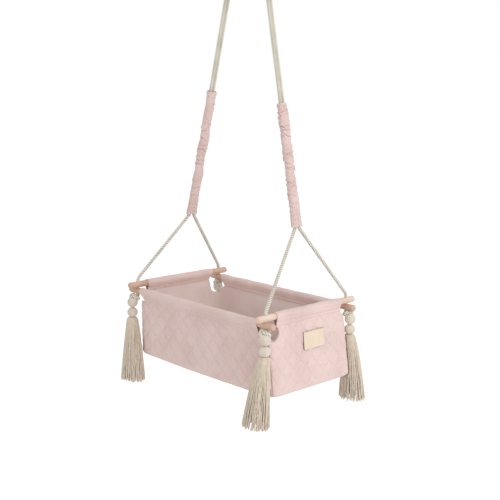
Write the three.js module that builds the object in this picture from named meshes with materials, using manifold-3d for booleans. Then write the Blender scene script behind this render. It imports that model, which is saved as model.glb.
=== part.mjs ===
// Hanging baby cradle: a quilted fabric basket in a frame of four wooden rods, carried by ropes that meet
// over one swivelling ring. Millimetres, +Z up, origin at the middle of the ceiling plate's top face.
// Front is -Y, back is +Y, left is -X and right is +X. Heights are counted from the tops of the end rods.
import * as THREE from 'three';
import { mergeVertices } from 'three/addons/utils/BufferGeometryUtils.js';
import Module from 'manifold-3d';

// Clearances
const seatGap = 0.3;
const ropePlay = 0.8;
const hemPlay = 0.6;
const lashingPlay = 0.4;
const socketPlay = 0.9;
const stemPlay = 0.6;
const cutOverrun = 2;

// Wooden frame
const rodDiameter = 25;
const rodEndRounding = 4;
const holeSpacingLong = 720;
const holeSpacingAcross = 455;
const rodOverhang = 42.5;

// Ropes
const ropeDiameter = 13;
const pairSpacing = 13.6;
const legSpacing = 24;
const convergenceHeight = 1640;
const ropeTopHeight = 1648;

// Basket
const basketDrop = 296;
const wallThickness = 12;
const endWallStandOff = 12;
const sideWallStandOff = 4.5;
const rightFlare = 34;
const leftFlare = 8;
const sideTaper = 9;
const rightCornerTop = 48;
const rightCornerBottom = 16;
const leftCornerTop = 60;
const leftCornerBottom = 75;
const bottomEdgeRadius = 14;
const notchDrop = 104;
const notchRise = 4;
const quiltPitch = 66;
const quiltDepth = 4;

// Hem tunnels round the rods
const hemCloth = 2.4;
const hemDrop = 32.5;
const endHemSetback = 46.5;
const sideHemSetback = 30;

// Inside the basket
const liningThickness = 1.5;
const liningLip = 2;
const boardThickness = 4;
const boardInset = 3;
const mattressThickness = 34;
const mattressCrown = 5;
const mattressInset = 10;
const mattressRoundShare = 0.125;
const mattressEdgeFall = 2;
const mattressEdgePower = 6;

// Tag on the right wall
const tagWidth = 118;
const tagHeight = 67;
const tagThickness = 2.5;
const tagOffset = 17;
const tagDrop = 125;

// Stopper knots and tassels
const knotWidth = 47;
const knotHeight = 29.5;
const knotOffset = 8;
const knotProfileShares = [[0, 1], [0.7, 0.95], [0.93, 0.75], [1, 0.45], [0.95, 0.15], [0.8, 0], [0, 0]];
const tasselOffset = 14.2;
const upperBallDiameter = 43;
const upperBallSink = 14.3;
const lowerBallDiameter = 40.2;
const skirtTopWidth = 54;
const skirtTopDepth = 48;
const skirtBottomWidth = 96;
const skirtBottomDepth = 68;
const skirtLength = 258;
const skirtLean = 17.5;
const skirtShoulder = 9;
const skirtNeckShare = 0.75;
const skirtSpreadPower = 0.8;
const skirtWallGap = 0.8;

// Gathered sleeves and the lashings in them
const leftApexHeight = 270;
const rightApexHeight = 289;
const apexReach = 291.5;
const leftSleeveLength = 510;
const rightSleeveLength = 457;
const sleeveRise = 4;
const sleeveHalfAcross = 20.5;
const sleeveHalfAlong = 17.5;
const sleeveBoreRadius = 9.6;
const sleeveFold = 1.6;
const sleeveFoldPitch = 32;
const sleeveFoldsAround = 3;
const sleeveSwellRings = 3;
const lashingRise = 15;
const lashingLength = 26;
const lashingThickness = 2;

// Hanging point
const wrapDrop = 40;
const wrapRise = 5;
const wrapThickness = 3;
const ringWire = 9;
const ringRadius = 35;
const ringRise = 25;
const eyeWire = 9;
const eyeRadius = 15;
const stemRadius = 5;
const headRadius = 8.5;
const headHeight = 6;
const headPlay = 1;
const housingRise = 4;
const housingRadius = 14;
const housingHeight = 18;
const housingLip = 4;
const plateRadius = 35;
const plateThickness = 5;
const plateRounding = 1.5;
const screwReach = 24;
const screwShankRadius = 2.3;
const screwHeadRadius = 4.5;
const screwHeadHeight = 2.6;

// Rope routes of the two front corners, from the knot to the hanging point; the back ones mirror them in Y
const rightRoute = [
  [360, -227.5, -50.6], [360, -227.5, 0], [359.8, -226.8, 7], [359.2, -224.8, 13.5], [358.1, -221.2, 19.5],
  [325.8, -117.4, 149.7], [293.6, -13.7, 279.9], [292.2, -10.2, 285.2], [291.3, -8.1, 290.2],
  [290.3, -7, 295.5], [289.1, -6.8, 301], [197, -6.8, 727.7], [104.9, -6.8, 1154.3],
  [12.8, -6.8, 1581], [12.2, -6.8, 1587], [12, -6.8, 1593], [12, -6.8, 1648],
];
const leftRoute = [
  [-360, -227.5, -50.6], [-360, -227.5, 0], [-359.8, -226.7, 7], [-359, -224.4, 13.6], [-357.9, -220.6, 19.5],
  [-325.9, -117.5, 140.1], [-293.9, -14.4, 260.7], [-292.4, -10.7, 266.1], [-291.4, -8.3, 271.3],
  [-290.3, -7.1, 276.6], [-289.1, -6.8, 282], [-197, -6.8, 715], [-104.9, -6.8, 1148],
  [-12.8, -6.8, 1581], [-12.2, -6.8, 1587], [-12, -6.8, 1593], [-12, -6.8, 1648],
];

// Facets
const ropeSides = 8;
const rodSides = 16;
const rodEndSteps = 2;
const ballSides = 16;
const ballRings = 9;
const skirtSides = 16;
const skirtRings = 5;
const wireSides = 10;
const ringSteps = 32;
const eyeSteps = 20;
const sleeveSides = 16;
const cornerColumns = 2;
const bendRows = 2;
const turnSteps = 6;
const mattressColumns = 12;
const mattressRows = 8;

// Materials
const matte = (color, roughness = 0.9) => new THREE.MeshStandardMaterial({ color, roughness, metalness: 0 });
const metal = (color, roughness) => new THREE.MeshStandardMaterial({ color, roughness, metalness: 1 });
const materials = {
  wood: matte('#e2bda2', 0.6),
  rope: matte('#e6dfcf'),
  quilted: matte('#e6c9c3'),
  hem: matte('#e8cfc9'),
  lining: matte('#d8bcb6'),
  sleeve: matte('#dcb5ae'),
  board: matte('#c9a57c', 0.7),
  mattress: matte('#f2efe9'),
  tag: matte('#efdcc6', 0.6),
  ball: matte('#ddd5c8'),
  skirt: matte('#c8bba8'),
  steel: metal('#c4c6c8', 0.3),
};

// Levels and half sizes worked out from the sizes above
const rodRadius = rodDiameter / 2;
const ropeRadius = ropeDiameter / 2;
const halfLong = holeSpacingLong / 2;
const halfAcross = holeSpacingAcross / 2;
const endRodLevel = -rodRadius;
const sideRodLevel = endRodLevel - rodDiameter - seatGap;
const rodsUnderside = sideRodLevel - rodRadius;
const edgeLevel = bottomEdgeRadius - basketDrop;
const basketHeight = basketDrop + rodsUnderside;
const fullTurn = 2 * Math.PI;
const quarterTurn = Math.PI / 2;
const corners = [
  { name: 'front_right', x: 1, y: -1 },
  { name: 'front_left', x: -1, y: -1 },
  { name: 'back_left', x: -1, y: 1 },
  { name: 'back_right', x: 1, y: 1 },
];

const cradle = new THREE.Group();
const root = new THREE.Group();
root.add(cradle);

const wasm = await Module();
wasm.setup();

const mix = THREE.MathUtils.lerp;

// Geometry helpers

// Joins shared vertices, drops triangles that have collapsed on an axis and turns the faces outwards.
function welded(geometry) {
  const bare = geometry.clone();
  bare.deleteAttribute('normal');
  bare.deleteAttribute('uv');
  const merged = mergeVertices(bare);
  const place = merged.attributes.position;
  const kept = [];
  const [a, b, c] = [new THREE.Vector3(), new THREE.Vector3(), new THREE.Vector3()];
  let volume = 0;
  for (let k = 0; k < merged.index.count; k += 3) {
    const [p, q, r] = [0, 1, 2].map((n) => merged.index.getX(k + n));
    if (p === q || q === r || r === p) continue;
    kept.push([p, q, r]);
    a.fromBufferAttribute(place, p);
    b.fromBufferAttribute(place, q);
    c.fromBufferAttribute(place, r);
    volume += a.dot(b.cross(c));
  }
  merged.setIndex(kept.flatMap((t) => (volume < 0 ? [t[0], t[2], t[1]] : t)));
  return merged;
}

function solidOf(geometry) {
  const merged = welded(geometry);
  return new wasm.Manifold(new wasm.Mesh({
    numProp: 3,
    vertProperties: new Float32Array(merged.attributes.position.array),
    triVerts: new Uint32Array(merged.index.array),
  }));
}

function geometryOf(solid) {
  const cut = solid.getMesh();
  const geometry = new THREE.BufferGeometry();
  geometry.setAttribute('position', new THREE.BufferAttribute(cut.vertProperties, cut.numProp));
  geometry.setIndex(new THREE.BufferAttribute(cut.triVerts, 1));
  return geometry;
}

const without = (geometry, ...cutters) =>
  geometryOf(cutters.reduce((solid, cutter) => solid.subtract(solidOf(cutter)), solidOf(geometry)));
const joined = (geometry, ...others) =>
  geometryOf(others.reduce((solid, other) => solid.add(solidOf(other)), solidOf(geometry)));

function add(parent, name, geometry, material) {
  const ready = welded(geometry);
  ready.computeVertexNormals();
  const mesh = new THREE.Mesh(ready, material);
  mesh.name = name;
  parent.add(mesh);
  return mesh;
}

// A turned body: the profile holds [radius, height] pairs and the axis stands along Z.
const turned = (profile, sides) =>
  new THREE.LatheGeometry(profile.map(([r, h]) => new THREE.Vector2(r, h)), sides).rotateX(quarterTurn);

// Points of a quarter round from one angle to another, both in radians, ends included.
const arcPoints = (x, y, radius, from, to, steps) =>
  Array.from({ length: steps + 1 }, (_, k) => {
    const angle = mix(from, to, k / steps);
    return [x + radius * Math.cos(angle), y + radius * Math.sin(angle)];
  });

// A closed body between two sheets of one grid. place(column, row, layer) gives each corner, and each cell
// is split along the diagonal that joins its even corners, so that quilting channels run unbroken.
function sheetBody(columns, rows, place, closed = false) {
  const across = closed ? columns : columns + 1;
  const points = [];
  for (const layer of [0, 1]) {
    for (let j = 0; j <= rows; j += 1) {
      for (let i = 0; i < across; i += 1) points.push(place(i, j, layer));
    }
  }
  const at = (i, j, layer) => (layer * (rows + 1) + j) * across + (i % across);
  const index = [];
  const quad = (a, b, c, d, even) => index.push(...(even ? [a, b, c, a, c, d] : [a, b, d, b, c, d]));
  for (let j = 0; j < rows; j += 1) {
    for (let i = 0; i < columns; i += 1) {
      const even = (i + j) % 2 === 0;
      quad(at(i, j, 0), at(i + 1, j, 0), at(i + 1, j + 1, 0), at(i, j + 1, 0), even);
      quad(at(i, j, 1), at(i, j + 1, 1), at(i + 1, j + 1, 1), at(i + 1, j, 1), even);
    }
  }
  for (let i = 0; i < columns; i += 1) {
    quad(at(i, 0, 0), at(i, 0, 1), at(i + 1, 0, 1), at(i + 1, 0, 0), true);
    quad(at(i, rows, 0), at(i + 1, rows, 0), at(i + 1, rows, 1), at(i, rows, 1), true);
  }
  for (let j = 0; j < rows && !closed; j += 1) {
    quad(at(0, j, 0), at(0, j + 1, 0), at(0, j + 1, 1), at(0, j, 1), true);
    quad(at(columns, j, 0), at(columns, j, 1), at(columns, j + 1, 1), at(columns, j + 1, 0), true);
  }
  const geometry = new THREE.BufferGeometry().setFromPoints(points);
  geometry.setIndex(index);
  return geometry;
}

// Wooden frame

function rod(holeSpacing) {
  const length = holeSpacing + 2 * rodOverhang;
  const end = length / 2 - rodEndRounding;
  const inner = rodRadius - rodEndRounding;
  const profile = [
    [0, -length / 2],
    ...arcPoints(inner, -end, rodEndRounding, -quarterTurn, 0, rodEndSteps),
    ...arcPoints(inner, end, rodEndRounding, 0, quarterTurn, rodEndSteps),
    [0, length / 2],
  ];
  const bar = turned(profile, rodSides).rotateX(quarterTurn);
  const holes = [-1, 1].map((side) => new THREE.CylinderGeometry(
    ropeRadius + ropePlay, ropeRadius + ropePlay, rodDiameter + 2 * cutOverrun, rodSides,
  ).rotateX(quarterTurn).translate(0, side * holeSpacing / 2, 0));
  return without(bar, ...holes);
}

function addFrame() {
  for (const [side, sign] of [['left', -1], ['right', 1]]) {
    add(cradle, `end_rod_${side}`, rod(holeSpacingAcross), materials.wood)
      .position.set(sign * halfLong, 0, endRodLevel);
  }
  for (const [side, sign] of [['front', -1], ['back', 1]]) {
    add(cradle, `side_rod_${side}`, rod(holeSpacingLong).rotateZ(quarterTurn), materials.wood)
      .position.set(0, sign * halfAcross, sideRodLevel);
  }
}

// Basket

// The basket's outline at a height: half sizes and corner radii all change evenly from rim to bottom.
function outlineAt(z) {
  const share = (rodsUnderside - z) / basketHeight;
  return {
    left: halfLong + endWallStandOff + leftFlare * share,
    right: halfLong + endWallStandOff + rightFlare * share,
    width: halfAcross + sideWallStandOff - sideTaper * share,
    leftRadius: mix(leftCornerTop, leftCornerBottom, share),
    rightRadius: mix(rightCornerTop, rightCornerBottom, share),
  };
}

// Each wall runs from the middle of one corner to the middle of the next. span() gives its outline at a
// height and toBasket() turns a place along the wall and outwards into basket X and Y.
const walls = [
  {
    name: 'front',
    top: sideRodLevel - hemDrop - seatGap,
    span: (o) => ({ low: -o.left, high: o.right, out: o.width, lowRadius: o.leftRadius, highRadius: o.rightRadius }),
    toBasket: (along, out) => [along, -out],
  },
  {
    name: 'right',
    top: endRodLevel - hemDrop - seatGap,
    span: (o) => ({ low: -o.width, high: o.width, out: o.right, lowRadius: o.rightRadius, highRadius: o.rightRadius }),
    toBasket: (along, out) => [out, along],
  },
  {
    name: 'back',
    top: sideRodLevel - hemDrop - seatGap,
    span: (o) => ({ low: -o.right, high: o.left, out: o.width, lowRadius: o.rightRadius, highRadius: o.leftRadius }),
    toBasket: (along, out) => [-along, out],
  },
  {
    name: 'left',
    top: endRodLevel - hemDrop - seatGap,
    span: (o) => ({ low: -o.width, high: o.width, out: o.left, lowRadius: o.leftRadius, highRadius: o.leftRadius }),
    toBasket: (along, out) => [-out, -along],
  },
];

function straightColumns(wall) {
  const s = wall.span(outlineAt((wall.top + edgeLevel) / 2));
  return 2 * Math.max(1, Math.round((s.high - s.low - s.lowRadius - s.highRadius) / quiltPitch));
}

const wallColumns = (wall) => straightColumns(wall) + 2 * cornerColumns;

// The top of the wall at a column: full height along the rods, dropping into the notch at the corners.
function topAt(wall, column) {
  const fromEnd = Math.min(column, wallColumns(wall) - column);
  return fromEnd >= cornerColumns ? wall.top : -notchDrop + notchRise * fromEnd / (cornerColumns - 1);
}

// A place on the wall: its column, its height, how far in from the outer face, and half the seam gap.
function wallPlace(wall, column, z, level, inset, halfSeam = 0) {
  const s = wall.span(outlineAt(level));
  const last = wallColumns(wall);
  const seam = halfSeam / Math.SQRT2;
  let along;
  let out = s.out - inset;
  if (column <= cornerColumns) {
    const angle = Math.PI / 4 * (1 + column / cornerColumns);
    along = s.low + s.lowRadius - (s.lowRadius - inset) * Math.cos(angle);
    out = s.out - s.lowRadius + (s.lowRadius - inset) * Math.sin(angle);
  } else if (column >= last - cornerColumns) {
    const angle = Math.PI / 4 * (1 + (last - column) / cornerColumns);
    along = s.high - s.highRadius + (s.highRadius - inset) * Math.cos(angle);
    out = s.out - s.highRadius + (s.highRadius - inset) * Math.sin(angle);
  } else {
    const share = (column - cornerColumns) / straightColumns(wall);
    along = mix(s.low + s.lowRadius, s.high - s.highRadius, share);
  }
  if (column === 0) return new THREE.Vector3(...wall.toBasket(along + seam, out + seam), z);
  if (column === last) return new THREE.Vector3(...wall.toBasket(along - seam, out + seam), z);
  return new THREE.Vector3(...wall.toBasket(along, out), z);
}

function wallBody(wall) {
  const columns = wallColumns(wall);
  const uprightRows = Math.max(2, Math.round(2 * (wall.top - edgeLevel) / quiltPitch));
  const place = (column, row, layer) => {
    const inner = layer === 1;
    if (row <= uprightRows) {
      const z = mix(topAt(wall, column), edgeLevel, row / uprightRows);
      const channel = (column + row) % 2 === 0 ? quiltDepth : 0;
      return wallPlace(wall, column, z, z, inner ? wallThickness : channel, seatGap / 2);
    }
    const turn = quarterTurn * (row - uprightRows) / bendRows;
    const radius = bottomEdgeRadius - (inner ? wallThickness : 0);
    const inset = bottomEdgeRadius - radius * Math.cos(turn);
    return wallPlace(wall, column, edgeLevel - radius * Math.sin(turn), edgeLevel, inset, seatGap / 2);
  };
  return sheetBody(columns, uprightRows + bendRows, place);
}

// Every column round the basket once, wall after wall.
const loopColumns = () =>
  walls.flatMap((wall) => Array.from({ length: wallColumns(wall) }, (_, column) => ({ wall, column })));

// A flat plate that follows the basket's outline at a height, a set distance inside it.
function outlinePlate(level, inset, thickness) {
  const edge = loopColumns().map(({ wall, column }) => wallPlace(wall, column, 0, level, inset));
  const shape = new THREE.Shape(edge.map((point) => new THREE.Vector2(point.x, point.y)));
  return new THREE.ExtrudeGeometry(shape, { depth: thickness, bevelEnabled: false });
}

function liningBody(bottom) {
  const loop = loopColumns();
  const place = (step, row, layer) => {
    const { wall, column } = loop[step % loop.length];
    const z = row === 0 ? topAt(wall, column) - liningLip : bottom;
    return wallPlace(wall, column, z, z, wallThickness + seatGap + (layer === 1 ? liningThickness : 0));
  };
  return sheetBody(loop.length, 1, place, true);
}

function mattressBody(level, bottom) {
  const edgeFall = (reach) => 1 - mattressEdgeFall * reach ** mattressEdgePower;
  const o = outlineAt(level);
  const inset = wallThickness + seatGap + liningThickness + mattressInset;
  const place = (column, row, layer) => {
    const u = 2 * column / mattressColumns - 1;
    const v = 2 * row / mattressRows - 1;
    const reach = (u < 0 ? o.left : o.right) - inset;
    const x = reach * u * Math.sqrt(1 - mattressRoundShare * v * v);
    const y = (o.width - inset) * v * Math.sqrt(1 - mattressRoundShare * u * u);
    const crown = mattressCrown * edgeFall(u) * edgeFall(v);
    const top = bottom + mattressThickness + Math.min(crown, mattressCrown);
    return new THREE.Vector3(x, y, layer === 1 ? bottom : top);
  };
  return sheetBody(mattressColumns, mattressRows, place);
}

// Hem tunnel: a drop-shaped sleeve round the rod that narrows to the wall's top edge. Its section is drawn
// with the outward side to the right, the rod's axis at zero, and it is extruded along Z.
function hemSection(wallOuter) {
  const boreRadius = rodRadius + hemPlay;
  const outerRadius = boreRadius + hemCloth;
  const lean = Math.PI / 12;
  const shape = new THREE.Shape();
  shape.moveTo(wallOuter, -hemDrop);
  shape.absarc(0, 0, outerRadius, -lean, Math.PI + lean);
  shape.lineTo(wallOuter - wallThickness, -hemDrop);
  shape.closePath();
  const bore = new THREE.Path();
  bore.absarc(0, 0, boreRadius, 0, fullTurn);
  shape.holes.push(bore);
  return shape;
}

function addHems() {
  const build = (wallOuter, length) => new THREE.ExtrudeGeometry(
    hemSection(wallOuter), { depth: length, bevelEnabled: false, curveSegments: 10 },
  ).translate(0, 0, -length / 2).rotateX(quarterTurn);
  const endLength = holeSpacingAcross - 2 * endHemSetback;
  const sideLength = holeSpacingLong - 2 * sideHemSetback;
  const ends = outlineAt(endRodLevel - hemDrop);
  const sides = outlineAt(sideRodLevel - hemDrop);
  add(cradle, 'hem_right', build(ends.right - halfLong, endLength), materials.hem)
    .position.set(halfLong, 0, endRodLevel);
  add(cradle, 'hem_left', build(ends.left - halfLong, endLength).rotateZ(Math.PI), materials.hem)
    .position.set(-halfLong, 0, endRodLevel);
  add(cradle, 'hem_front', build(sides.width - halfAcross, sideLength).rotateZ(-quarterTurn), materials.hem)
    .position.set(0, -halfAcross, sideRodLevel);
  add(cradle, 'hem_back', build(sides.width - halfAcross, sideLength).rotateZ(quarterTurn), materials.hem)
    .position.set(0, halfAcross, sideRodLevel);
}

function addTag() {
  const tilt = Math.atan(rightFlare / basketHeight);
  const standOff = (seatGap + tagThickness / 2) / Math.cos(tilt);
  const plate = new THREE.BoxGeometry(tagThickness, tagWidth, tagHeight).rotateY(-tilt);
  add(cradle, 'blank_tag', plate, materials.tag)
    .position.set(outlineAt(-tagDrop).right + standOff, tagOffset, -tagDrop);
}

function addBasket() {
  addHems();
  for (const wall of walls) add(cradle, `wall_${wall.name}`, wallBody(wall), materials.quilted);
  const panelTop = wallThickness - basketDrop;
  add(cradle, 'bottom_panel', outlinePlate(edgeLevel, bottomEdgeRadius + seatGap, wallThickness), materials.quilted)
    .position.set(0, 0, -basketDrop);
  add(cradle, 'inner_lining', liningBody(edgeLevel + seatGap), materials.lining);
  const boardLevel = panelTop + seatGap;
  const boardEdge = wallThickness + seatGap + liningThickness + boardInset;
  add(cradle, 'base_board', outlinePlate(edgeLevel, boardEdge, boardThickness), materials.board)
    .position.set(0, 0, boardLevel);
  const mattressLevel = boardLevel + boardThickness + seatGap;
  add(cradle, 'mattress', mattressBody(edgeLevel, mattressLevel), materials.mattress);
  addTag();
}

// Ropes

// A rope's route through its listed points, one step of the tube to each stretch between them.
class RopeRoute extends THREE.Curve {
  constructor(points) {
    super();
    this.points = points.map((p) => new THREE.Vector3(...p));
  }

  getPoint(t, target = new THREE.Vector3()) {
    const place = THREE.MathUtils.clamp(t, 0, 1) * (this.points.length - 1);
    const from = Math.min(Math.floor(place), this.points.length - 2);
    return target.lerpVectors(this.points[from], this.points[from + 1], place - from);
  }

  getUtoTmapping(u) {
    return u;
  }
}

function ropeAlong(points) {
  const section = new THREE.Shape();
  section.absarc(0, 0, ropeRadius, 0, fullTurn);
  const extrudePath = new RopeRoute(points);
  return new THREE.ExtrudeGeometry(section, {
    extrudePath, steps: points.length - 1, curveSegments: ropeSides / 2, bevelEnabled: false,
  });
}

function addRopes() {
  for (const corner of corners) {
    const route = corner.x > 0 ? rightRoute : leftRoute;
    const points = route.map(([x, y, z]) => [x, -corner.y * y, z]);
    add(cradle, `rope_${corner.name}`, ropeAlong(points), materials.rope);
  }
}

// Gathered sleeves and lashings

// The rope pair as a stadium: two round ends whose centres stand half the pair's spacing either side of X.
function pairOutline(radius, PathClass = THREE.Shape) {
  const outline = new PathClass();
  outline.absarc(0, pairSpacing / 2, radius, 0, Math.PI);
  outline.absarc(0, -pairSpacing / 2, radius, Math.PI, fullTurn);
  return outline;
}

// The sleeve is turned round its axis, then each ring of the outside becomes an oval with gathers in it and
// the bore becomes the rope pair's stadium.
function sleeveBody(length) {
  const rings = 2 * Math.round(length / sleeveFoldPitch);
  const outer = Array.from({ length: rings + 1 }, (_, k) => new THREE.Vector2(sleeveHalfAcross, length * k / rings));
  const bore = [new THREE.Vector2(sleeveBoreRadius, length), new THREE.Vector2(sleeveBoreRadius, 0)];
  const profile = [...outer, ...bore, outer[0]];
  const geometry = new THREE.LatheGeometry(profile, sleeveSides);
  const place = geometry.attributes.position;
  for (let k = 0; k < place.count; k += 1) {
    const ring = k % profile.length;
    const side = Math.floor(k / profile.length) % sleeveSides;
    const angle = fullTurn * side / sleeveSides;
    const height = profile[ring].y;
    const isBore = ring === rings + 1 || ring === rings + 2;
    if (isBore) {
      const centre = side === 0 || side === sleeveSides / 2 ? 0 : Math.sign(Math.sin(angle)) * pairSpacing / 2;
      place.setXYZ(k, sleeveBoreRadius * Math.cos(angle), centre + sleeveBoreRadius * Math.sin(angle), height);
    } else {
      const step = ring % (profile.length - 1);
      const gather = sleeveFold * Math.cos(Math.PI * step + sleeveFoldsAround * angle);
      const swell = sleeveFold * Math.sin(step / sleeveSwellRings) / 2;
      const x = (sleeveHalfAlong + gather + swell) * Math.cos(angle);
      const y = (sleeveHalfAcross + gather + swell) * Math.sin(angle);
      place.setXYZ(k, x, y, height);
    }
  }
  return geometry;
}

function addSleeves() {
  const ends = [
    { name: 'left', sign: -1, apex: leftApexHeight, length: leftSleeveLength },
    { name: 'right', sign: 1, apex: rightApexHeight, length: rightSleeveLength },
  ];
  for (const end of ends) {
    const pair = new THREE.Group();
    pair.position.set(end.sign * apexReach, 0, end.apex);
    pair.rotation.y = -end.sign * Math.atan(apexReach / (convergenceHeight - end.apex));
    cradle.add(pair);
    const band = pairOutline(ropeRadius + lashingPlay + lashingThickness);
    band.holes.push(pairOutline(ropeRadius + lashingPlay, THREE.Path));
    const lashing = new THREE.ExtrudeGeometry(band, { depth: lashingLength, bevelEnabled: false, curveSegments: 5 });
    add(pair, `lashing_${end.name}`, lashing, materials.rope).position.z = lashingRise;
    add(pair, `rope_sleeve_${end.name}`, sleeveBody(end.length), materials.sleeve).position.z = sleeveRise;
  }
}

// Knots and tassels

const ballLevel = rodsUnderside - 2 * seatGap - upperBallSink - upperBallDiameter / 2;
const lowerBallLevel = ballLevel - upperBallDiameter / 2 - seatGap - lowerBallDiameter / 2;
const skirtTop = lowerBallLevel - lowerBallDiameter / 2 - seatGap;

const ball = (diameter) => turned(arcPoints(0, 0, diameter / 2, -quarterTurn, quarterTurn, ballRings), ballSides);

// The knot sits flat under the rods and cups the top of the upper ball.
function knotBody(corner) {
  const radius = knotWidth / 2;
  const profile = knotProfileShares.map(([out, down]) => [radius * out, -knotHeight * down]);
  const top = rodsUnderside - 2 * seatGap;
  const shift = tasselOffset - knotOffset;
  const socket = ball(upperBallDiameter + 2 * socketPlay)
    .translate(corner.x * shift, corner.y * shift, ballLevel - top);
  return without(turned(profile, ballSides), socket);
}

// The skirt spreads downwards and leans outwards, and its inner side lies flat along the long wall.
function skirtBody(corner) {
  const reach = halfAcross + tasselOffset;
  const section = (depth) => {
    const share = THREE.MathUtils.clamp((depth - skirtShoulder) / (skirtLength - skirtShoulder), 0, 1);
    const shoulder = Math.sqrt(1 - skirtNeckShare * (1 - Math.min(depth / skirtShoulder, 1)) ** 2);
    const spread = share ** skirtSpreadPower;
    return {
      halfWidth: mix(skirtTopWidth, skirtBottomWidth, spread) / 2 * shoulder,
      halfDepth: mix(skirtTopDepth, skirtBottomDepth, spread) / 2 * shoulder,
      out: reach + skirtLean * share,
    };
  };
  const depths = [0, skirtShoulder / 3, skirtShoulder];
  for (let k = 1; k <= skirtRings; k += 1) depths.push(mix(skirtShoulder, skirtLength, k / skirtRings));
  const profile = depths.map((depth) => [1, -depth]);
  const geometry = turned([[0, 0], ...profile, [0, -skirtLength]], skirtSides);
  const place = geometry.attributes.position;
  for (let k = 0; k < place.count; k += 1) {
    const depth = -place.getZ(k);
    const s = section(depth);
    const face = outlineAt(Math.max(skirtTop - depth, -basketDrop)).width + skirtWallGap;
    const out = Math.max(s.out + s.halfDepth * place.getY(k), face);
    place.setXYZ(k, s.halfWidth * place.getX(k), corner.y * (out - reach), -depth);
  }
  return geometry;
}

function addTassels() {
  for (const corner of corners) {
    const knotPlace = [corner.x * (halfLong + knotOffset), corner.y * (halfAcross + knotOffset)];
    const tasselPlace = [corner.x * (halfLong + tasselOffset), corner.y * (halfAcross + tasselOffset)];
    add(cradle, `knot_${corner.name}`, knotBody(corner), materials.rope)
      .position.set(...knotPlace, rodsUnderside - 2 * seatGap);
    add(cradle, `upper_ball_${corner.name}`, ball(upperBallDiameter), materials.ball)
      .position.set(...tasselPlace, ballLevel);
    add(cradle, `lower_ball_${corner.name}`, ball(lowerBallDiameter), materials.ball)
      .position.set(...tasselPlace, lowerBallLevel);
    add(cradle, `tassel_skirt_${corner.name}`, skirtBody(corner), materials.skirt)
      .position.set(...tasselPlace, skirtTop);
  }
}

// Hanging point

const ringBottom = convergenceHeight + ringRise;
const ringCentre = ringBottom + ringRadius;
const eyeCentre = ringCentre + ringRadius - (ringWire + eyeWire) / 2 - seatGap + eyeRadius;
const housingBottom = eyeCentre + eyeRadius + eyeWire / 2 + housingRise;
const plateBottom = housingBottom + housingHeight + seatGap;
const ceilingHeight = plateBottom + plateThickness;

// A band that fits round all four rope legs.
function wrapOutline(margin, PathClass = THREE.Shape) {
  const radius = ropeRadius + margin;
  const [x, y] = [legSpacing / 2, pairSpacing / 2];
  const outline = new PathClass();
  outline.absarc(x, y, radius, 0, quarterTurn);
  outline.absarc(-x, y, radius, quarterTurn, 2 * quarterTurn);
  outline.absarc(-x, -y, radius, 2 * quarterTurn, 3 * quarterTurn);
  outline.absarc(x, -y, radius, 3 * quarterTurn, 4 * quarterTurn);
  return outline;
}

// One turn of rope over the ring, from the end of one leg to the end of the other.
function turnPoints(y) {
  const centre = ringCentre - Math.sqrt(ringRadius ** 2 - y ** 2);
  const foot = ropeTopHeight + seatGap;
  const over = arcPoints(0, centre, legSpacing / 2, 0, Math.PI, turnSteps);
  return [[legSpacing / 2, foot], ...over, [-legSpacing / 2, foot]].map(([x, z]) => [x, y, z]);
}

function addHangingPoint() {
  const band = wrapOutline(lashingPlay + wrapThickness);
  band.holes.push(wrapOutline(lashingPlay, THREE.Path));
  const wrap = new THREE.ExtrudeGeometry(band, { depth: wrapDrop + wrapRise, bevelEnabled: false, curveSegments: 3 });
  add(cradle, 'gathering_wrap', wrap, materials.rope).position.z = convergenceHeight - wrapDrop;
  add(cradle, 'rope_turn_front', ropeAlong(turnPoints(-pairSpacing / 2)), materials.rope);
  add(cradle, 'rope_turn_back', ropeAlong(turnPoints(pairSpacing / 2)), materials.rope);

  const ring = new THREE.TorusGeometry(ringRadius, ringWire / 2, wireSides, ringSteps).rotateY(quarterTurn);
  add(cradle, 'hanging_ring', ring, materials.steel).position.z = ringCentre;

  const eye = new THREE.TorusGeometry(eyeRadius, eyeWire / 2, wireSides, eyeSteps).rotateX(quarterTurn);
  const headBottom = housingBottom + housingLip + seatGap - eyeCentre;
  const stem = turned([[0, eyeRadius], [stemRadius, eyeRadius], [stemRadius, headBottom],
    [headRadius, headBottom], [headRadius, headBottom + headHeight], [0, headBottom + headHeight]], rodSides);
  add(cradle, 'swivel_eye', joined(eye, stem), materials.steel).position.z = eyeCentre;

  const lipRadius = stemRadius + stemPlay;
  const pocketRadius = headRadius + headPlay;
  const housing = turned([[lipRadius, 0], [housingRadius, 0], [housingRadius, housingHeight],
    [pocketRadius, housingHeight], [pocketRadius, housingLip], [lipRadius, housingLip], [lipRadius, 0]], rodSides);
  add(cradle, 'swivel_housing', housing, materials.steel).position.z = housingBottom;

  const disc = turned([[0, 0], [plateRadius - plateRounding, 0], [plateRadius, plateRounding],
    [plateRadius, plateThickness], [0, plateThickness]], 2 * rodSides);
  const holes = [-1, 1].map((side) => new THREE.CylinderGeometry(
    screwShankRadius + seatGap, screwShankRadius + seatGap, plateThickness + 2 * cutOverrun, rodSides,
  ).rotateX(quarterTurn).translate(side * screwReach, 0, plateThickness / 2));
  add(cradle, 'ceiling_plate', without(disc, ...holes), materials.steel).position.z = plateBottom;

  const headTop = -seatGap;
  const screw = turned([[0, headTop - screwHeadHeight], [screwHeadRadius / 2, headTop - screwHeadHeight],
    [screwHeadRadius, headTop - screwHeadHeight / 2], [screwHeadRadius, headTop],
    [screwShankRadius, headTop], [screwShankRadius, plateThickness], [0, plateThickness]], rodSides / 2);
  for (const [side, sign] of [['left', -1], ['right', 1]]) {
    add(cradle, `plate_screw_${side}`, screw, materials.steel).position.set(sign * screwReach, 0, plateBottom);
  }
}

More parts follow.
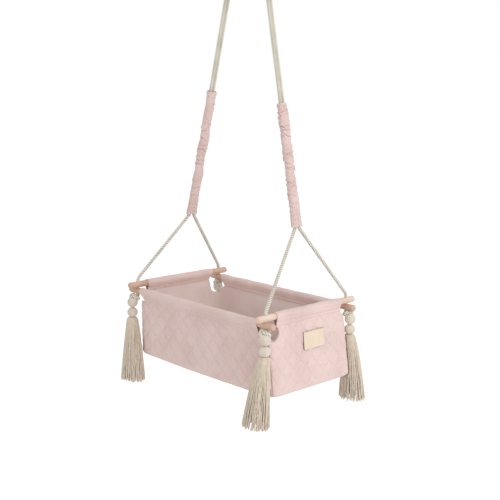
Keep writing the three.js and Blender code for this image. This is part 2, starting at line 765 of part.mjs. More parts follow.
addFrame();
addBasket();
addRopes();
addSleeves();
addTassels();
addHangingPoint();
cradle.position.z = -ceilingHeight;

export default root;
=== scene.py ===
"""Looks of a hanging baby cradle, built in Blender 4.5 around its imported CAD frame.

A quilted fabric basket hangs in four wooden rods on laid cotton ropes with gathered sleeves, knots and
tassels. Everything is in metres in the row frame, whose origin is on the ceiling. Sizes in the classes count
heights from the tops of the end rods, at ROD_TOP_LEVEL in that frame. Front is -Y and right is +X.
"""

import logging
import math
from dataclasses import dataclass, field
from enum import Enum
from typing import Callable, Optional, Sequence, Union

import bmesh
import bpy
import numpy as np
from mathutils import Matrix, Vector

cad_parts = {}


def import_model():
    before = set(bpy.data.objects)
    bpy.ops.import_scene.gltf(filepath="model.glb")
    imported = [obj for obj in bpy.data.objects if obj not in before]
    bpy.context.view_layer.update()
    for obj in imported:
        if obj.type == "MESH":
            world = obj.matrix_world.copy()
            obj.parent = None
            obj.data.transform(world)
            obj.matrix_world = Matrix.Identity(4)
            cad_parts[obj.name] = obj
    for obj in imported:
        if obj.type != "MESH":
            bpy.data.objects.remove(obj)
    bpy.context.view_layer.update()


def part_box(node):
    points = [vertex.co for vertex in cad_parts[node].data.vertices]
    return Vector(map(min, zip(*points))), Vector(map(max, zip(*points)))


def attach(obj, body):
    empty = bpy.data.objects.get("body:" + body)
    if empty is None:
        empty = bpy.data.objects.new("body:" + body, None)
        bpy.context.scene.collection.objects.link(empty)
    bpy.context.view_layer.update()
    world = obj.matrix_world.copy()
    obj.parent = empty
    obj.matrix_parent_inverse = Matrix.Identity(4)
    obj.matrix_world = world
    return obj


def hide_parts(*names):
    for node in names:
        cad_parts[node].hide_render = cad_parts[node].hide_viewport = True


LOG = logging.getLogger("cradle")
ROD_TOP_LEVEL = -1.7875
SURFACE_MAP = "surface"
BYTE = 255.0
FULL_TURN = 2 * math.pi
QUARTER_TURN = math.pi / 2
EIGHTH_TURN = math.pi / 4
TINY = 1e-9

Socket = bpy.types.NodeSocket
SocketOrValue = Union[bpy.types.NodeSocket, float]
SocketOrColour = Union[bpy.types.NodeSocket, tuple]


class Slot(str, Enum):
    """The record's material slots."""

    WOOD = "wood"
    ROPE = "rope"
    QUILTED = "quilted_fabric"
    HEM = "hem_fabric"
    LINING = "lining_fabric"
    SLEEVE = "sleeve_fabric"
    BOARD = "board"
    MATTRESS = "mattress_cover"
    TAG = "tag"
    BALLS = "yarn_balls"
    TASSEL = "tassel_yarn"
    STEEL = "steel"


class Body(str, Enum):
    """The CAD bodies that whole sub-assemblies ride on."""

    MOUNT = "ceiling_mount"
    SWIVEL = "swivel"
    RING = "ring"
    CRADLE = "cradle"


@dataclass(frozen=True)
class Corner:
    """One corner of the rod frame."""

    name: str
    x: int
    y: int


CORNERS = (
    Corner("front_right", 1, -1),
    Corner("front_left", -1, -1),
    Corner("back_left", -1, 1),
    Corner("back_right", 1, 1),
)


def lowered(points: np.ndarray) -> np.ndarray:
    """Moves points whose heights count from the rod tops into the row frame."""
    return np.asarray(points, float) + np.array([0.0, 0.0, ROD_TOP_LEVEL])


def colour(red: int, green: int, blue: int) -> tuple[float, float, float, float]:
    """Turns a colour as a screen shows it, 0 to 255, into the linear values that shaders use.

    Args:
        red: Red as shown.
        green: Green as shown.
        blue: Blue as shown.

    Returns:
        Linear red, green and blue, with full alpha.
    """
    knee, slope, offset, gain, power = 0.04045, 12.92, 0.055, 1.055, 2.4
    shares = [channel / BYTE for channel in (red, green, blue)]
    linear = [c / slope if c <= knee else ((c + offset) / gain) ** power for c in shares]
    return (*linear, 1.0)


def smoothstep(share: np.ndarray) -> np.ndarray:
    """Eases a share from 0 to 1."""
    share = np.clip(share, 0.0, 1.0)
    return share * share * (3 - 2 * share)


def ripples(place: np.ndarray, waves: int, finest: float, seed: int) -> np.ndarray:
    """Sums seeded sine waves into a smooth wandering value of about -1 to 1.

    Args:
        place: Coordinates in metres, one row of numbers for each point.
        waves: How many waves are summed.
        finest: The shortest wave in metres.
        seed: Seed of the directions and phases.

    Returns:
        One value for each point.
    """
    rng = np.random.default_rng(seed)
    shape = place.shape[:-1]
    flat = place.reshape(-1, place.shape[-1])
    total = np.zeros(len(flat))
    weight = 0.0
    for k in range(waves):
        direction = rng.normal(size=flat.shape[1])
        direction /= np.linalg.norm(direction)
        length = finest * 2 ** rng.uniform(0, 2)
        share = 1 / (1 + k / waves)
        total += share * np.sin(FULL_TURN * flat @ direction / length + rng.uniform(0, FULL_TURN))
        weight += share * share
    return (total / math.sqrt(weight)).reshape(shape)


def lengths_along(path: np.ndarray) -> np.ndarray:
    """Distance of each point of a path from its start, measured along it."""
    return np.concatenate([[0.0], np.cumsum(np.linalg.norm(np.diff(path, axis=0), axis=1))])


def read_between(wanted: np.ndarray, places: np.ndarray, rows: np.ndarray) -> np.ndarray:
    """Reads rows of numbers, known at rising places, at other places between them."""
    return np.stack([np.interp(wanted, places, rows[:, k]) for k in range(rows.shape[1])], axis=1)


def bell(away: np.ndarray) -> np.ndarray:
    """A smooth bump of height 1 that falls off within about two steps."""
    return np.exp(-(away**2))


# Meshes


def natural_map(places: np.ndarray, wrap: bool) -> np.ndarray:
    """Lays a grid's own lengths out as flat coordinates in metres.

    Args:
        places: Points as rows, columns and three coordinates.
        wrap: True if the last column joins the first.

    Returns:
        Two coordinates for each row and column, with one column more where the grid wraps.
    """
    ring = np.concatenate([places, places[:, :1]], axis=1) if wrap else places
    across = np.linalg.norm(np.diff(ring, axis=1), axis=2).mean(axis=0)
    down = np.linalg.norm(np.diff(ring, axis=0), axis=2).mean(axis=1)
    u = np.concatenate([[0.0], np.cumsum(across)])
    v = np.concatenate([[0.0], np.cumsum(down)])
    return np.stack(np.meshgrid(u, v), axis=-1)


class Surface:
    """Collects grids and fans of one mesh, with their flat coordinates, and turns them into an object."""

    def __init__(self) -> None:
        """Starts with nothing in it."""
        self.points: list[np.ndarray] = []
        self.faces: list[np.ndarray] = []
        self.maps: list[np.ndarray] = []
        self.parts: list[np.ndarray] = []
        self.count = 0

    def add_points(self, places: np.ndarray) -> int:
        """Adds points and returns the index of the first."""
        first = self.count
        flat = np.asarray(places, float).reshape(-1, 3)
        self.points.append(flat)
        self.count += len(flat)
        return first

    def add_faces(self, faces: np.ndarray, corners: np.ndarray, part: int = 0) -> None:
        """Adds faces of one size.

        Args:
            faces: Point indices, one row for each face.
            corners: Flat coordinates of each face's corners.
            part: Index of the material that they take.
        """
        self.faces.append(faces)
        self.maps.append(corners)
        self.parts.append(np.full(len(faces), part))

    def add_grid(self, places: np.ndarray, wrap: bool = False, flat: Optional[np.ndarray] = None) -> int:
        """Adds a grid of quads.

        Args:
            places: Points as rows, columns and three coordinates.
            wrap: True if the last column joins the first.
            flat: Flat coordinates, or None for the grid's own lengths.

        Returns:
            The index of its first point.
        """
        rows, columns = places.shape[:2]
        first = self.add_points(places)
        flat = natural_map(places, wrap) if flat is None else flat
        i = np.arange(rows - 1)[:, None]
        j = np.arange(columns if wrap else columns - 1)[None, :]
        after = (j + 1) % columns
        above, below = first + i * columns, first + (i + 1) * columns
        faces = np.stack(np.broadcast_arrays(above + j, above + after, below + after, below + j), axis=-1)
        corners = np.stack([flat[i, j], flat[i, j + 1], flat[i + 1, j + 1], flat[i + 1, j]], axis=-2)
        self.add_faces(faces.reshape(-1, 4), corners.reshape(-1, 4, 2))
        return first

    def add_band(self, first: np.ndarray, second: np.ndarray, corners: np.ndarray, part: int = 0) -> None:
        """Joins two closed rings of points with quads.

        Args:
            first: Indices of the one ring's points, in order.
            second: Indices of the other ring's points.
            corners: Flat coordinates of the corners of each quad.
            part: Index of the material that it takes.
        """
        faces = np.stack([first, np.roll(first, -1), np.roll(second, -1), second], axis=1)
        self.add_faces(faces, corners, part)

    def add_fan(self, ring: np.ndarray, middle: np.ndarray) -> None:
        """Closes a ring of points with triangles round a middle point.

        Args:
            ring: Indices of the ring's points, in order.
            middle: Place of the middle point.
        """
        centre = self.add_points(middle)
        faces = np.stack([ring, np.roll(ring, -1), np.full(len(ring), centre)], axis=1)
        places = np.concatenate(self.points)[faces]
        self.add_faces(faces, places[..., :2] - places[..., :1, :2])

    def add_tube(self, places: np.ndarray) -> None:
        """Adds a tube from its rings and closes both its ends.

        Args:
            places: Points as rings, points round the ring and three coordinates.
        """
        rings, sides = places.shape[:2]
        start = self.add_grid(places, wrap=True) + np.arange(sides)
        self.add_fan(start[::-1], places[0].mean(axis=0))
        self.add_fan(start + (rings - 1) * sides, places[-1].mean(axis=0))

    def build(
        self, name: str, materials: Sequence[bpy.types.Material], sharp: float = 50.0
    ) -> bpy.types.Object:
        """Makes the object, with its faces turned outwards and smoothly shaded.

        Args:
            name: Name of the object.
            materials: Its materials, in the order of the parts.
            sharp: The angle in degrees from which an edge stays sharp.

        Returns:
            The object, linked to the scene.
        """
        mesh = bpy.data.meshes.new(name)
        used, loops = np.unique(np.concatenate([f.ravel() for f in self.faces]), return_inverse=True)
        points = np.concatenate(self.points)[used]
        mesh.vertices.add(len(points))
        mesh.vertices.foreach_set("co", points.astype(np.float32).ravel())
        totals = np.concatenate([np.full(len(f), f.shape[1]) for f in self.faces])
        mesh.loops.add(len(loops))
        mesh.loops.foreach_set("vertex_index", loops.astype(np.int32))
        mesh.polygons.add(len(totals))
        starts = np.concatenate([[0], np.cumsum(totals)[:-1]])
        mesh.polygons.foreach_set("loop_start", starts.astype(np.int32))
        mesh.polygons.foreach_set("loop_total", totals.astype(np.int32))
        mesh.polygons.foreach_set("material_index", np.concatenate(self.parts).astype(np.int32))
        mesh.update(calc_edges=True)
        layer = mesh.uv_layers.new(name=SURFACE_MAP)
        layer.data.foreach_set("uv", np.concatenate([m.ravel() for m in self.maps]).astype(np.float32))
        mesh.validate()
        for material in materials:
            mesh.materials.append(material)
        turn_outwards(mesh)
        mesh.shade_smooth()
        mesh.set_sharp_from_angle(angle=math.radians(sharp))
        made = bpy.data.objects.new(name, mesh)
        bpy.context.scene.collection.objects.link(made)
        return made


def turn_outwards(mesh: bpy.types.Mesh) -> None:
    """Makes the faces of a mesh's closed shells point outwards."""
    sketch = bmesh.new()
    sketch.from_mesh(mesh)
    bmesh.ops.recalc_face_normals(sketch, faces=sketch.faces)
    sketch.to_mesh(mesh)
    sketch.free()


def resampled(path: np.ndarray, step: float, ease: int = 0) -> np.ndarray:
    """Spaces a path evenly and eases its corners.

    Args:
        path: Points of the path.
        step: Distance between the new points, about.
        ease: How many times each point moves towards the middle of its neighbours.

    Returns:
        The new points, with the same ends.
    """
    lengths = lengths_along(path)
    count = max(2, int(round(lengths[-1] / step)) + 1)
    spaced = read_between(np.linspace(0, lengths[-1], count), lengths, path)
    for _ in range(ease):
        spaced[1:-1] = (spaced[:-2] + 2 * spaced[1:-1] + spaced[2:]) / 4
    return spaced


def length_of(path: np.ndarray) -> float:
    """Length of a path in metres."""
    return float(np.linalg.norm(np.diff(path, axis=0), axis=1).sum())


def frames_along(path: np.ndarray, closed: bool = False) -> tuple[np.ndarray, np.ndarray]:
    """Carries a pair of directions along a path without twisting them.

    Args:
        path: Points of the path.
        closed: True if the path's end meets its start, which spreads the leftover turn over it.

    Returns:
        Two directions across the path at each point.
    """
    tangents = np.gradient(path, axis=0)
    if closed:
        tangents[0] = tangents[-1] = path[1] - path[-2]
    tangents /= np.linalg.norm(tangents, axis=1, keepdims=True)
    start = np.eye(3)[int(np.argmin(np.abs(tangents[0])))]
    across = np.zeros_like(path)
    across[0] = start - tangents[0] * (start @ tangents[0])
    for k in range(1, len(path)):
        across[k] = across[k - 1] - tangents[k] * (across[k - 1] @ tangents[k])
    across /= np.linalg.norm(across, axis=1, keepdims=True)
    other = np.cross(tangents, across)
    if closed:
        turn = math.atan2(across[-1] @ other[0], across[-1] @ across[0])
        angle = (-turn * np.linspace(0, 1, len(path)))[:, None]
        across, other = (
            across * np.cos(angle) + other * np.sin(angle),
            other * np.cos(angle) - across * np.sin(angle),
        )
    return across, other


def rings_along(path: np.ndarray, radii: np.ndarray, closed: bool = False) -> np.ndarray:
    """Puts a ring of points round each point of a path.

    Args:
        path: Points of the path.
        radii: Distance from the path, for each path point and each point round it.
        closed: True if the path's end meets its start.

    Returns:
        Points as rings, points round the ring and three coordinates.
    """
    across, other = frames_along(path, closed)
    angle = FULL_TURN * np.arange(radii.shape[1]) / radii.shape[1]
    out = across[:, None] * np.cos(angle)[None, :, None] + other[:, None] * np.sin(angle)[None, :, None]
    return path[:, None] + out * radii[..., None]


def turned_rings(profile: Sequence[tuple[float, float]], sides: int) -> np.ndarray:
    """Turns a profile of radius and height round the Z axis.

    Args:
        profile: Radius and height of each ring.
        sides: Points round a ring.

    Returns:
        Points as rings, points round the ring and three coordinates.
    """
    angle = FULL_TURN * np.arange(sides) / sides
    rings = [np.stack([r * np.cos(angle), r * np.sin(angle), np.full(sides, h)], axis=1) for r, h in profile]
    return np.stack(rings)


def dress(piece: bpy.types.Object, body: str, nodes: Sequence[str] = ()) -> bpy.types.Object:
    """Puts a finished piece on its body and hides the CAD nodes that it replaces.

    Args:
        piece: The object.
        body: Name of the CAD body that it rides on.
        nodes: CAD nodes that it replaces.

    Returns:
        The same object.
    """
    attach(piece, body)
    if nodes:
        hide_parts(*nodes)
    LOG.info("%s: %d faces on %s", piece.name, len(piece.data.polygons), body)
    return piece


def box_of(node: str) -> tuple[np.ndarray, np.ndarray]:
    """Lowest and highest corner of a CAD node's box, in the row frame."""
    low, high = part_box(node)
    return np.array(low), np.array(high)


# Shader nodes


class Sketch:
    """Places and joins nodes in one node tree."""

    def __init__(self, tree: bpy.types.NodeTree) -> None:
        """Keeps the tree."""
        self.tree = tree

    def node(self, kind: str, **settings: object) -> bpy.types.Node:
        """Adds a node and sets its properties."""
        made = self.tree.nodes.new(kind)
        for name, value in settings.items():
            setattr(made, name, value)
        return made

    def feed(self, target: Socket, source: Union[Socket, float, tuple]) -> None:
        """Joins a socket to a source, or sets it to a value."""
        if isinstance(source, bpy.types.NodeSocket):
            self.tree.links.new(source, target)
        else:
            target.default_value = source

    def math(self, operation: str, *values: SocketOrValue) -> Socket:
        """Adds a Math node.

        Args:
            operation: Blender's name of the operation.
            values: Its inputs, as sockets or numbers.

        Returns:
            Its output.
        """
        made = self.node("ShaderNodeMath", operation=operation)
        for k, value in enumerate(values):
            self.feed(made.inputs[k], value)
        return made.outputs[0]

    def mixed(self, share: SocketOrValue, first: SocketOrColour, second: SocketOrColour) -> Socket:
        """Mixes two colours by a share and returns the mixed one."""
        made = self.node("ShaderNodeMix", data_type="RGBA")
        for name, value in (("Factor_Float", share), ("A_Color", first), ("B_Color", second)):
            self.feed(next(s for s in made.inputs if s.identifier == name), value)
        return next(s for s in made.outputs if s.identifier == "Result_Color")

    def noise(self, place: Socket, scale: SocketOrValue, detail: float = 2.0) -> Socket:
        """Adds a Noise texture and returns its value."""
        made = self.node("ShaderNodeTexNoise")
        self.feed(made.inputs["Vector"], place)
        self.feed(made.inputs["Scale"], scale)
        self.feed(made.inputs["Detail"], detail)
        return made.outputs["Fac"]

    def stretched(self, place: Socket, scale: tuple[float, float, float]) -> Socket:
        """Scales a place along its axes."""
        made = self.node("ShaderNodeVectorMath", operation="MULTIPLY")
        self.feed(made.inputs[0], place)
        self.feed(made.inputs[1], scale)
        return made.outputs[0]

    def split(self, place: Socket) -> tuple[Socket, Socket]:
        """Splits a place and returns its first two coordinates."""
        made = self.node("ShaderNodeSeparateXYZ")
        self.feed(made.inputs[0], place)
        return made.outputs["X"], made.outputs["Y"]

    def ranged(self, value: Socket, low: float, high: float, kind: str = "SMOOTHSTEP") -> Socket:
        """Turns a value between two bounds into a share from 0 to 1.

        Args:
            value: The value.
            low: The bound that becomes 0.
            high: The bound that becomes 1.
            kind: Blender's name of the way between them.

        Returns:
            The share.
        """
        made = self.node("ShaderNodeMapRange", interpolation_type=kind)
        for name, source in (("Value", value), ("From Min", low), ("From Max", high)):
            self.feed(made.inputs[name], source)
        return made.outputs["Result"]

    def group(self, tree: bpy.types.NodeTree, **values: Union[Socket, float, tuple]) -> bpy.types.Node:
        """Adds a shared node group.

        Args:
            tree: The group.
            values: Its inputs by name, with underscores for spaces.

        Returns:
            The group's node.
        """
        made = self.node("ShaderNodeGroup", node_tree=tree)
        for name, value in values.items():
            self.feed(made.inputs[name.replace("_", " ")], value)
        return made


def new_group(
    name: str,
    inputs: Sequence[tuple[str, str, Union[float, tuple, None]]],
    outputs: Sequence[tuple[str, str]],
) -> tuple[bpy.types.NodeTree, Sketch, bpy.types.Node, bpy.types.Node]:
    """Starts a shared shader node group with named sockets.

    Args:
        name: Name of the group.
        inputs: Name, socket type and default value of each input.
        outputs: Name and socket type of each output.

    Returns:
        The group, a sketch on it, its input node and its output node.
    """
    tree = bpy.data.node_groups.new(name, "ShaderNodeTree")
    for label, kind, value in inputs:
        socket = tree.interface.new_socket(name=label, in_out="INPUT", socket_type=kind)
        if value is not None:
            socket.default_value = value
    for label, kind in outputs:
        tree.interface.new_socket(name=label, in_out="OUTPUT", socket_type=kind)
    sketch = Sketch(tree)
    return tree, sketch, sketch.node("NodeGroupInput"), sketch.node("NodeGroupOutput")


FLOAT, VECTOR, COLOUR = "NodeSocketFloat", "NodeSocketVector", "NodeSocketColor"


class SharedEffects:
    """The shader node groups that more than one finish uses, each built once."""

    def __init__(self) -> None:
        """Builds every group."""
        self.weave = self._weave()
        self.fibres = self._fibres()
        self.wear = self._wear()
        self.hollows = self._hollows()
        self.grain = self._grain()
        self.brushed = self._brushed()

    @staticmethod
    def _weave() -> bpy.types.NodeTree:
        """Plain weave: threads that pass over and under each other, with a little unevenness."""
        tree, sketch, given, out = new_group(
            "Woven threads",
            [("Place", VECTOR, None), ("Threads per metre", FLOAT, 900.0)],
            [("Height", FLOAT), ("Shade", FLOAT)],
        )
        place = sketch.node("ShaderNodeVectorMath", operation="SCALE")
        sketch.feed(place.inputs[0], given.outputs["Place"])
        sketch.feed(place.inputs["Scale"], given.outputs["Threads per metre"])
        across, along = sketch.split(place.outputs[0])
        warp, weft = (
            sketch.math("ABSOLUTE", sketch.math("SINE", sketch.math("MULTIPLY", spot, math.pi)))
            for spot in (across, along)
        )
        parity = sketch.math("ADD", sketch.math("FLOOR", across), sketch.math("FLOOR", along))
        over = sketch.math("FLOORED_MODULO", parity, 2.0)
        under = sketch.math("SUBTRACT", 1.0, over)
        lifted = sketch.math("MULTIPLY_ADD", warp, over, sketch.math("MULTIPLY", weft, under))
        slub = sketch.noise(place.outputs[0], 0.07, 3.0)
        height = sketch.math("MULTIPLY", lifted, sketch.math("ADD", slub, 0.5))
        sketch.feed(out.inputs["Height"], height)
        shade = sketch.math("MULTIPLY_ADD", height, 0.25, 0.75)
        sketch.feed(out.inputs["Shade"], sketch.math("MINIMUM", shade, 1.0))
        return tree

    @staticmethod
    def _fibres() -> bpy.types.NodeTree:
        """Spun yarn: fine fibres that run along the piece and wind slowly round it."""
        tree, sketch, given, out = new_group(
            "Spun fibres",
            [("Place", VECTOR, None), ("Fibres per metre", FLOAT, 1500.0), ("Lean", FLOAT, 0.3)],
            [("Height", FLOAT), ("Shade", FLOAT)],
        )
        across, along = sketch.split(given.outputs["Place"])
        leaned = sketch.math("MULTIPLY_ADD", along, given.outputs["Lean"], across)
        joined = sketch.node("ShaderNodeCombineXYZ")
        sketch.feed(joined.inputs["X"], sketch.math("MULTIPLY", leaned, given.outputs["Fibres per metre"]))
        sketch.feed(joined.inputs["Y"], sketch.math("MULTIPLY", along, 45.0))
        fine = sketch.noise(joined.outputs[0], 1.0, 3.0)
        coarse = sketch.noise(joined.outputs[0], 0.21, 1.0)
        height = sketch.math("MULTIPLY_ADD", coarse, 0.7, sketch.math("MULTIPLY", fine, 0.5))
        sketch.feed(out.inputs["Height"], height)
        sketch.feed(out.inputs["Shade"], sketch.math("MULTIPLY_ADD", height, 0.45, 0.7))
        return tree

    @staticmethod
    def _wear() -> bpy.types.NodeTree:
        """Slow changes of tone, and paler or darker edges."""
        tree, sketch, given, out = new_group(
            "Wear and fading",
            [
                ("Colour", COLOUR, (0.8, 0.8, 0.8, 1.0)),
                ("Worn colour", COLOUR, (0.7, 0.7, 0.7, 1.0)),
                ("Patch size", FLOAT, 0.12),
                ("Amount", FLOAT, 0.5),
                ("Edge amount", FLOAT, 0.3),
            ],
            [("Colour", COLOUR), ("Mask", FLOAT)],
        )
        place = sketch.node("ShaderNodeTexCoord").outputs["Object"]
        scale = sketch.math("DIVIDE", 1.0, given.outputs["Patch size"])
        patches = sketch.ranged(sketch.noise(place, scale, 3.0), 0.36, 0.66)
        pointed = sketch.node("ShaderNodeNewGeometry").outputs["Pointiness"]
        edges = sketch.ranged(pointed, 0.51, 0.58, "LINEAR")
        worn = sketch.math("MULTIPLY", patches, given.outputs["Amount"])
        edged = sketch.math("MULTIPLY", edges, given.outputs["Edge amount"])
        mask = sketch.math("MAXIMUM", worn, edged)
        sketch.feed(out.inputs["Mask"], mask)
        mixed = sketch.mixed(mask, given.outputs["Colour"], given.outputs["Worn colour"])
        sketch.feed(out.inputs["Colour"], mixed)
        return tree

    @staticmethod
    def _hollows() -> bpy.types.NodeTree:
        """Painted shade in grooves, where little light falls, with some dust: darker where the surface is
        hollow.
        """
        tree, sketch, given, out = new_group(
            "Painted shade and dust in hollows",
            [
                ("Colour", COLOUR, (0.8, 0.8, 0.8, 1.0)),
                ("Hollow colour", COLOUR, (0.4, 0.4, 0.4, 1.0)),
                ("Amount", FLOAT, 0.5),
            ],
            [("Colour", COLOUR), ("Mask", FLOAT)],
        )
        pointed = sketch.node("ShaderNodeNewGeometry").outputs["Pointiness"]
        # The mask paints shade, with some dust, where the surface is hollow
        mask = sketch.math("MULTIPLY", sketch.ranged(pointed, 0.5, 0.45), given.outputs["Amount"])
        sketch.feed(out.inputs["Mask"], mask)
        mixed = sketch.mixed(mask, given.outputs["Colour"], given.outputs["Hollow colour"])
        sketch.feed(out.inputs["Colour"], mixed)
        return tree

    @staticmethod
    def _grain() -> bpy.types.NodeTree:
        """Wood: drawn-out fibres and the slow bands of the growth rings."""
        tree, sketch, given, out = new_group(
            "Wood grain",
            [("Place", VECTOR, None), ("Bands per metre", FLOAT, 180.0)],
            [("Band", FLOAT), ("Fibre", FLOAT)],
        )
        bent = sketch.noise(sketch.stretched(given.outputs["Place"], (40.0, 5.0, 1.0)), 1.0, 2.0)
        across, _ = sketch.split(given.outputs["Place"])
        ring = sketch.math("MULTIPLY", across, given.outputs["Bands per metre"])
        wave = sketch.math("SINE", sketch.math("MULTIPLY_ADD", bent, 9.0, ring))
        sketch.feed(out.inputs["Band"], sketch.math("MULTIPLY_ADD", wave, 0.5, 0.5))
        fibre = sketch.noise(sketch.stretched(given.outputs["Place"], (1600.0, 60.0, 1.0)), 1.0, 3.0)
        sketch.feed(out.inputs["Fibre"], fibre)
        return tree

    @staticmethod
    def _brushed() -> bpy.types.NodeTree:
        """Brushed metal: fine streaks drawn out along one direction."""
        tree, sketch, given, out = new_group(
            "Brushed streaks", [("Place", VECTOR, None)], [("Height", FLOAT), ("Roughness", FLOAT)]
        )
        streaks = sketch.noise(sketch.stretched(given.outputs["Place"], (3000.0, 90.0, 1.0)), 1.0, 2.0)
        smears = sketch.noise(sketch.stretched(given.outputs["Place"], (60.0, 60.0, 1.0)), 1.0, 2.0)
        sketch.feed(out.inputs["Height"], streaks)
        rough = sketch.math("MULTIPLY_ADD", streaks, 0.12, sketch.math("MULTIPLY_ADD", smears, 0.2, 0.14))
        sketch.feed(out.inputs["Roughness"], rough)
        return tree


@dataclass(frozen=True)
class Finish:
    """What every finish holds: its name, its colour and the tone that it wears towards, which also gives the
    painted shade where threads and fibres lie low.
    """

    name: str
    base: tuple[int, int, int]
    worn: tuple[int, int, int]
    roughness: float = 0.85

    def start(self) -> tuple[bpy.types.Material, Sketch, bpy.types.Node, Socket]:
        """Makes an empty material.

        Returns:
            The material, a sketch on it, its shader and the piece's flat coordinates.
        """
        material = bpy.data.materials.new(self.name)
        material.use_nodes = True
        sketch = Sketch(material.node_tree)
        shader = material.node_tree.nodes["Principled BSDF"]
        shader.inputs["Roughness"].default_value = self.roughness
        flat = sketch.node("ShaderNodeUVMap", uv_map=SURFACE_MAP).outputs["UV"]
        return material, sketch, shader, flat

    def faded(self, sketch: Sketch, effects: SharedEffects, **amounts: float) -> Socket:
        """Adds the shared wear and fading.

        Args:
            sketch: The material's sketch.
            effects: The shared effects.
            amounts: The patch size and the amounts that differ, by name.

        Returns:
            The finish's colour with its wear.
        """
        colours = {"Colour": colour(*self.base), "Worn_colour": colour(*self.worn)}
        return sketch.group(effects.wear, **colours, **amounts).outputs["Colour"]

    def shaded(self, sketch: Sketch, shade: Socket, fresh: Socket) -> Socket:
        """Mixes the worn tone into a colour where its threads or fibres lie low, as painted shade between
        them.
        """
        return sketch.mixed(shade, colour(*self.worn), fresh)

    def raise_by(
        self, sketch: Sketch, shader: bpy.types.Node, height: Socket, distance: float, strength: float
    ) -> None:
        """Feeds a height into the shader's normal.

        Args:
            sketch: The material's sketch.
            shader: The material's shader.
            height: Height from 0 to 1.
            distance: Height of 1 in metres.
            strength: Share of the bump that shows.
        """
        bump = sketch.node("ShaderNodeBump")
        sketch.feed(bump.inputs["Strength"], strength)
        sketch.feed(bump.inputs["Distance"], distance)
        sketch.feed(bump.inputs["Height"], height)
        sketch.feed(shader.inputs["Normal"], bump.outputs["Normal"])


@dataclass(frozen=True)
class SpunFinish(Finish):
    """What cloth and yarn share: hollows between the threads, darkened by painted shade with some dust."""

    # Colour and share of the painted shade, with some dust, in the hollows
    hollow: tuple[int, int, int] = (186, 154, 149)
    hollow_amount: float = 0.4

    def shade_and_dust_in_hollows(self, sketch: Sketch, effects: SharedEffects, toned: Socket) -> Socket:
        """Darkens a colour in the hollows with painted shade and some dust, and returns it."""
        made = sketch.group(
            effects.hollows, Colour=toned, Hollow_colour=colour(*self.hollow), Amount=self.hollow_amount
        )
        return made.outputs["Colour"]


@dataclass(frozen=True)
class ClothFinish(SpunFinish):
    """Woven cotton with a soft crumple."""

    threads: float = 900.0
    weave_share: float = 0.12
    crumple: float = 0.0012
    crumple_size: float = 0.05
    sheen: float = 0.25

    def material(self, effects: SharedEffects) -> bpy.types.Material:
        """Makes the cloth's material."""
        material, sketch, shader, flat = self.start()
        weave = sketch.group(effects.weave, Place=flat, Threads_per_metre=self.threads)
        fresh = self.faded(sketch, effects, Amount=0.55, Edge_amount=0.35)
        toned = self.shaded(sketch, weave.outputs["Shade"], fresh)
        # The hollows take painted shade, with some dust
        sketch.feed(shader.inputs["Base Color"], self.shade_and_dust_in_hollows(sketch, effects, toned))
        soft = sketch.noise(flat, 1 / self.crumple_size, 4.0)
        height = sketch.math("MULTIPLY_ADD", weave.outputs["Height"], self.weave_share, soft)
        self.raise_by(sketch, shader, height, self.crumple, 0.6)
        shader.inputs["Sheen Weight"].default_value = self.sheen
        shader.inputs["Sheen Roughness"].default_value = 0.5
        shader.inputs["Specular IOR Level"].default_value = 0.2
        return material


@dataclass(frozen=True)
class YarnFinish(SpunFinish):
    """Spun cotton: rope, string and wound yarn."""

    # Colour and share of the painted shade, with some dust, in the grooves between strands
    hollow: tuple[int, int, int] = (150, 138, 116)
    hollow_amount: float = 0.85
    fibres: float = 1500.0
    lean: float = 0.3
    relief: float = 0.0006
    patch: float = 0.05

    def material(self, effects: SharedEffects) -> bpy.types.Material:
        """Makes the yarn's material."""
        material, sketch, shader, flat = self.start()
        fibres = sketch.group(effects.fibres, Place=flat, Fibres_per_metre=self.fibres, Lean=self.lean)
        fresh = self.faded(sketch, effects, Patch_size=self.patch, Amount=0.4, Edge_amount=0.0)
        toned = self.shaded(sketch, fibres.outputs["Shade"], fresh)
        # The grooves take painted shade, with some dust
        sketch.feed(shader.inputs["Base Color"], self.shade_and_dust_in_hollows(sketch, effects, toned))
        self.raise_by(sketch, shader, fibres.outputs["Height"], self.relief, 0.7)
        shader.inputs["Sheen Weight"].default_value = 0.3
        shader.inputs["Specular IOR Level"].default_value = 0.15
        return material


@dataclass(frozen=True)
class WoodFinish(Finish):
    """Sanded pale wood with a matt finish."""

    bands: float = 180.0

    def material(self, effects: SharedEffects) -> bpy.types.Material:
        """Makes the wood's material."""
        material, sketch, shader, flat = self.start()
        grain = sketch.group(effects.grain, Place=flat, Bands_per_metre=self.bands)
        fresh = self.faded(sketch, effects, Patch_size=0.09, Amount=0.6, Edge_amount=0.5)
        band_share = sketch.math("MULTIPLY", grain.outputs["Band"], 0.35)
        toned = sketch.mixed(band_share, fresh, colour(*self.worn))
        streak_share = sketch.math("MULTIPLY", grain.outputs["Fibre"], 0.3)
        sketch.feed(shader.inputs["Base Color"], sketch.mixed(streak_share, toned, colour(*self.worn)))
        rough = sketch.math("MULTIPLY_ADD", grain.outputs["Fibre"], 0.2, self.roughness - 0.1)
        sketch.feed(shader.inputs["Roughness"], rough)
        self.raise_by(sketch, shader, grain.outputs["Fibre"], 0.0003, 0.4)
        return material


@dataclass(frozen=True)
class SteelFinish(Finish):
    """Brushed steel."""

    def material(self, effects: SharedEffects) -> bpy.types.Material:
        """Makes the steel's material."""
        material, sketch, shader, flat = self.start()
        streaks = sketch.group(effects.brushed, Place=flat)
        fresh = self.faded(sketch, effects, Patch_size=0.02, Amount=0.5, Edge_amount=0.6)
        sketch.feed(shader.inputs["Base Color"], fresh)
        shader.inputs["Metallic"].default_value = 1.0
        sketch.feed(shader.inputs["Roughness"], streaks.outputs["Roughness"])
        self.raise_by(sketch, shader, streaks.outputs["Height"], 0.0001, 0.25)
        return material


# Camera, light and floor


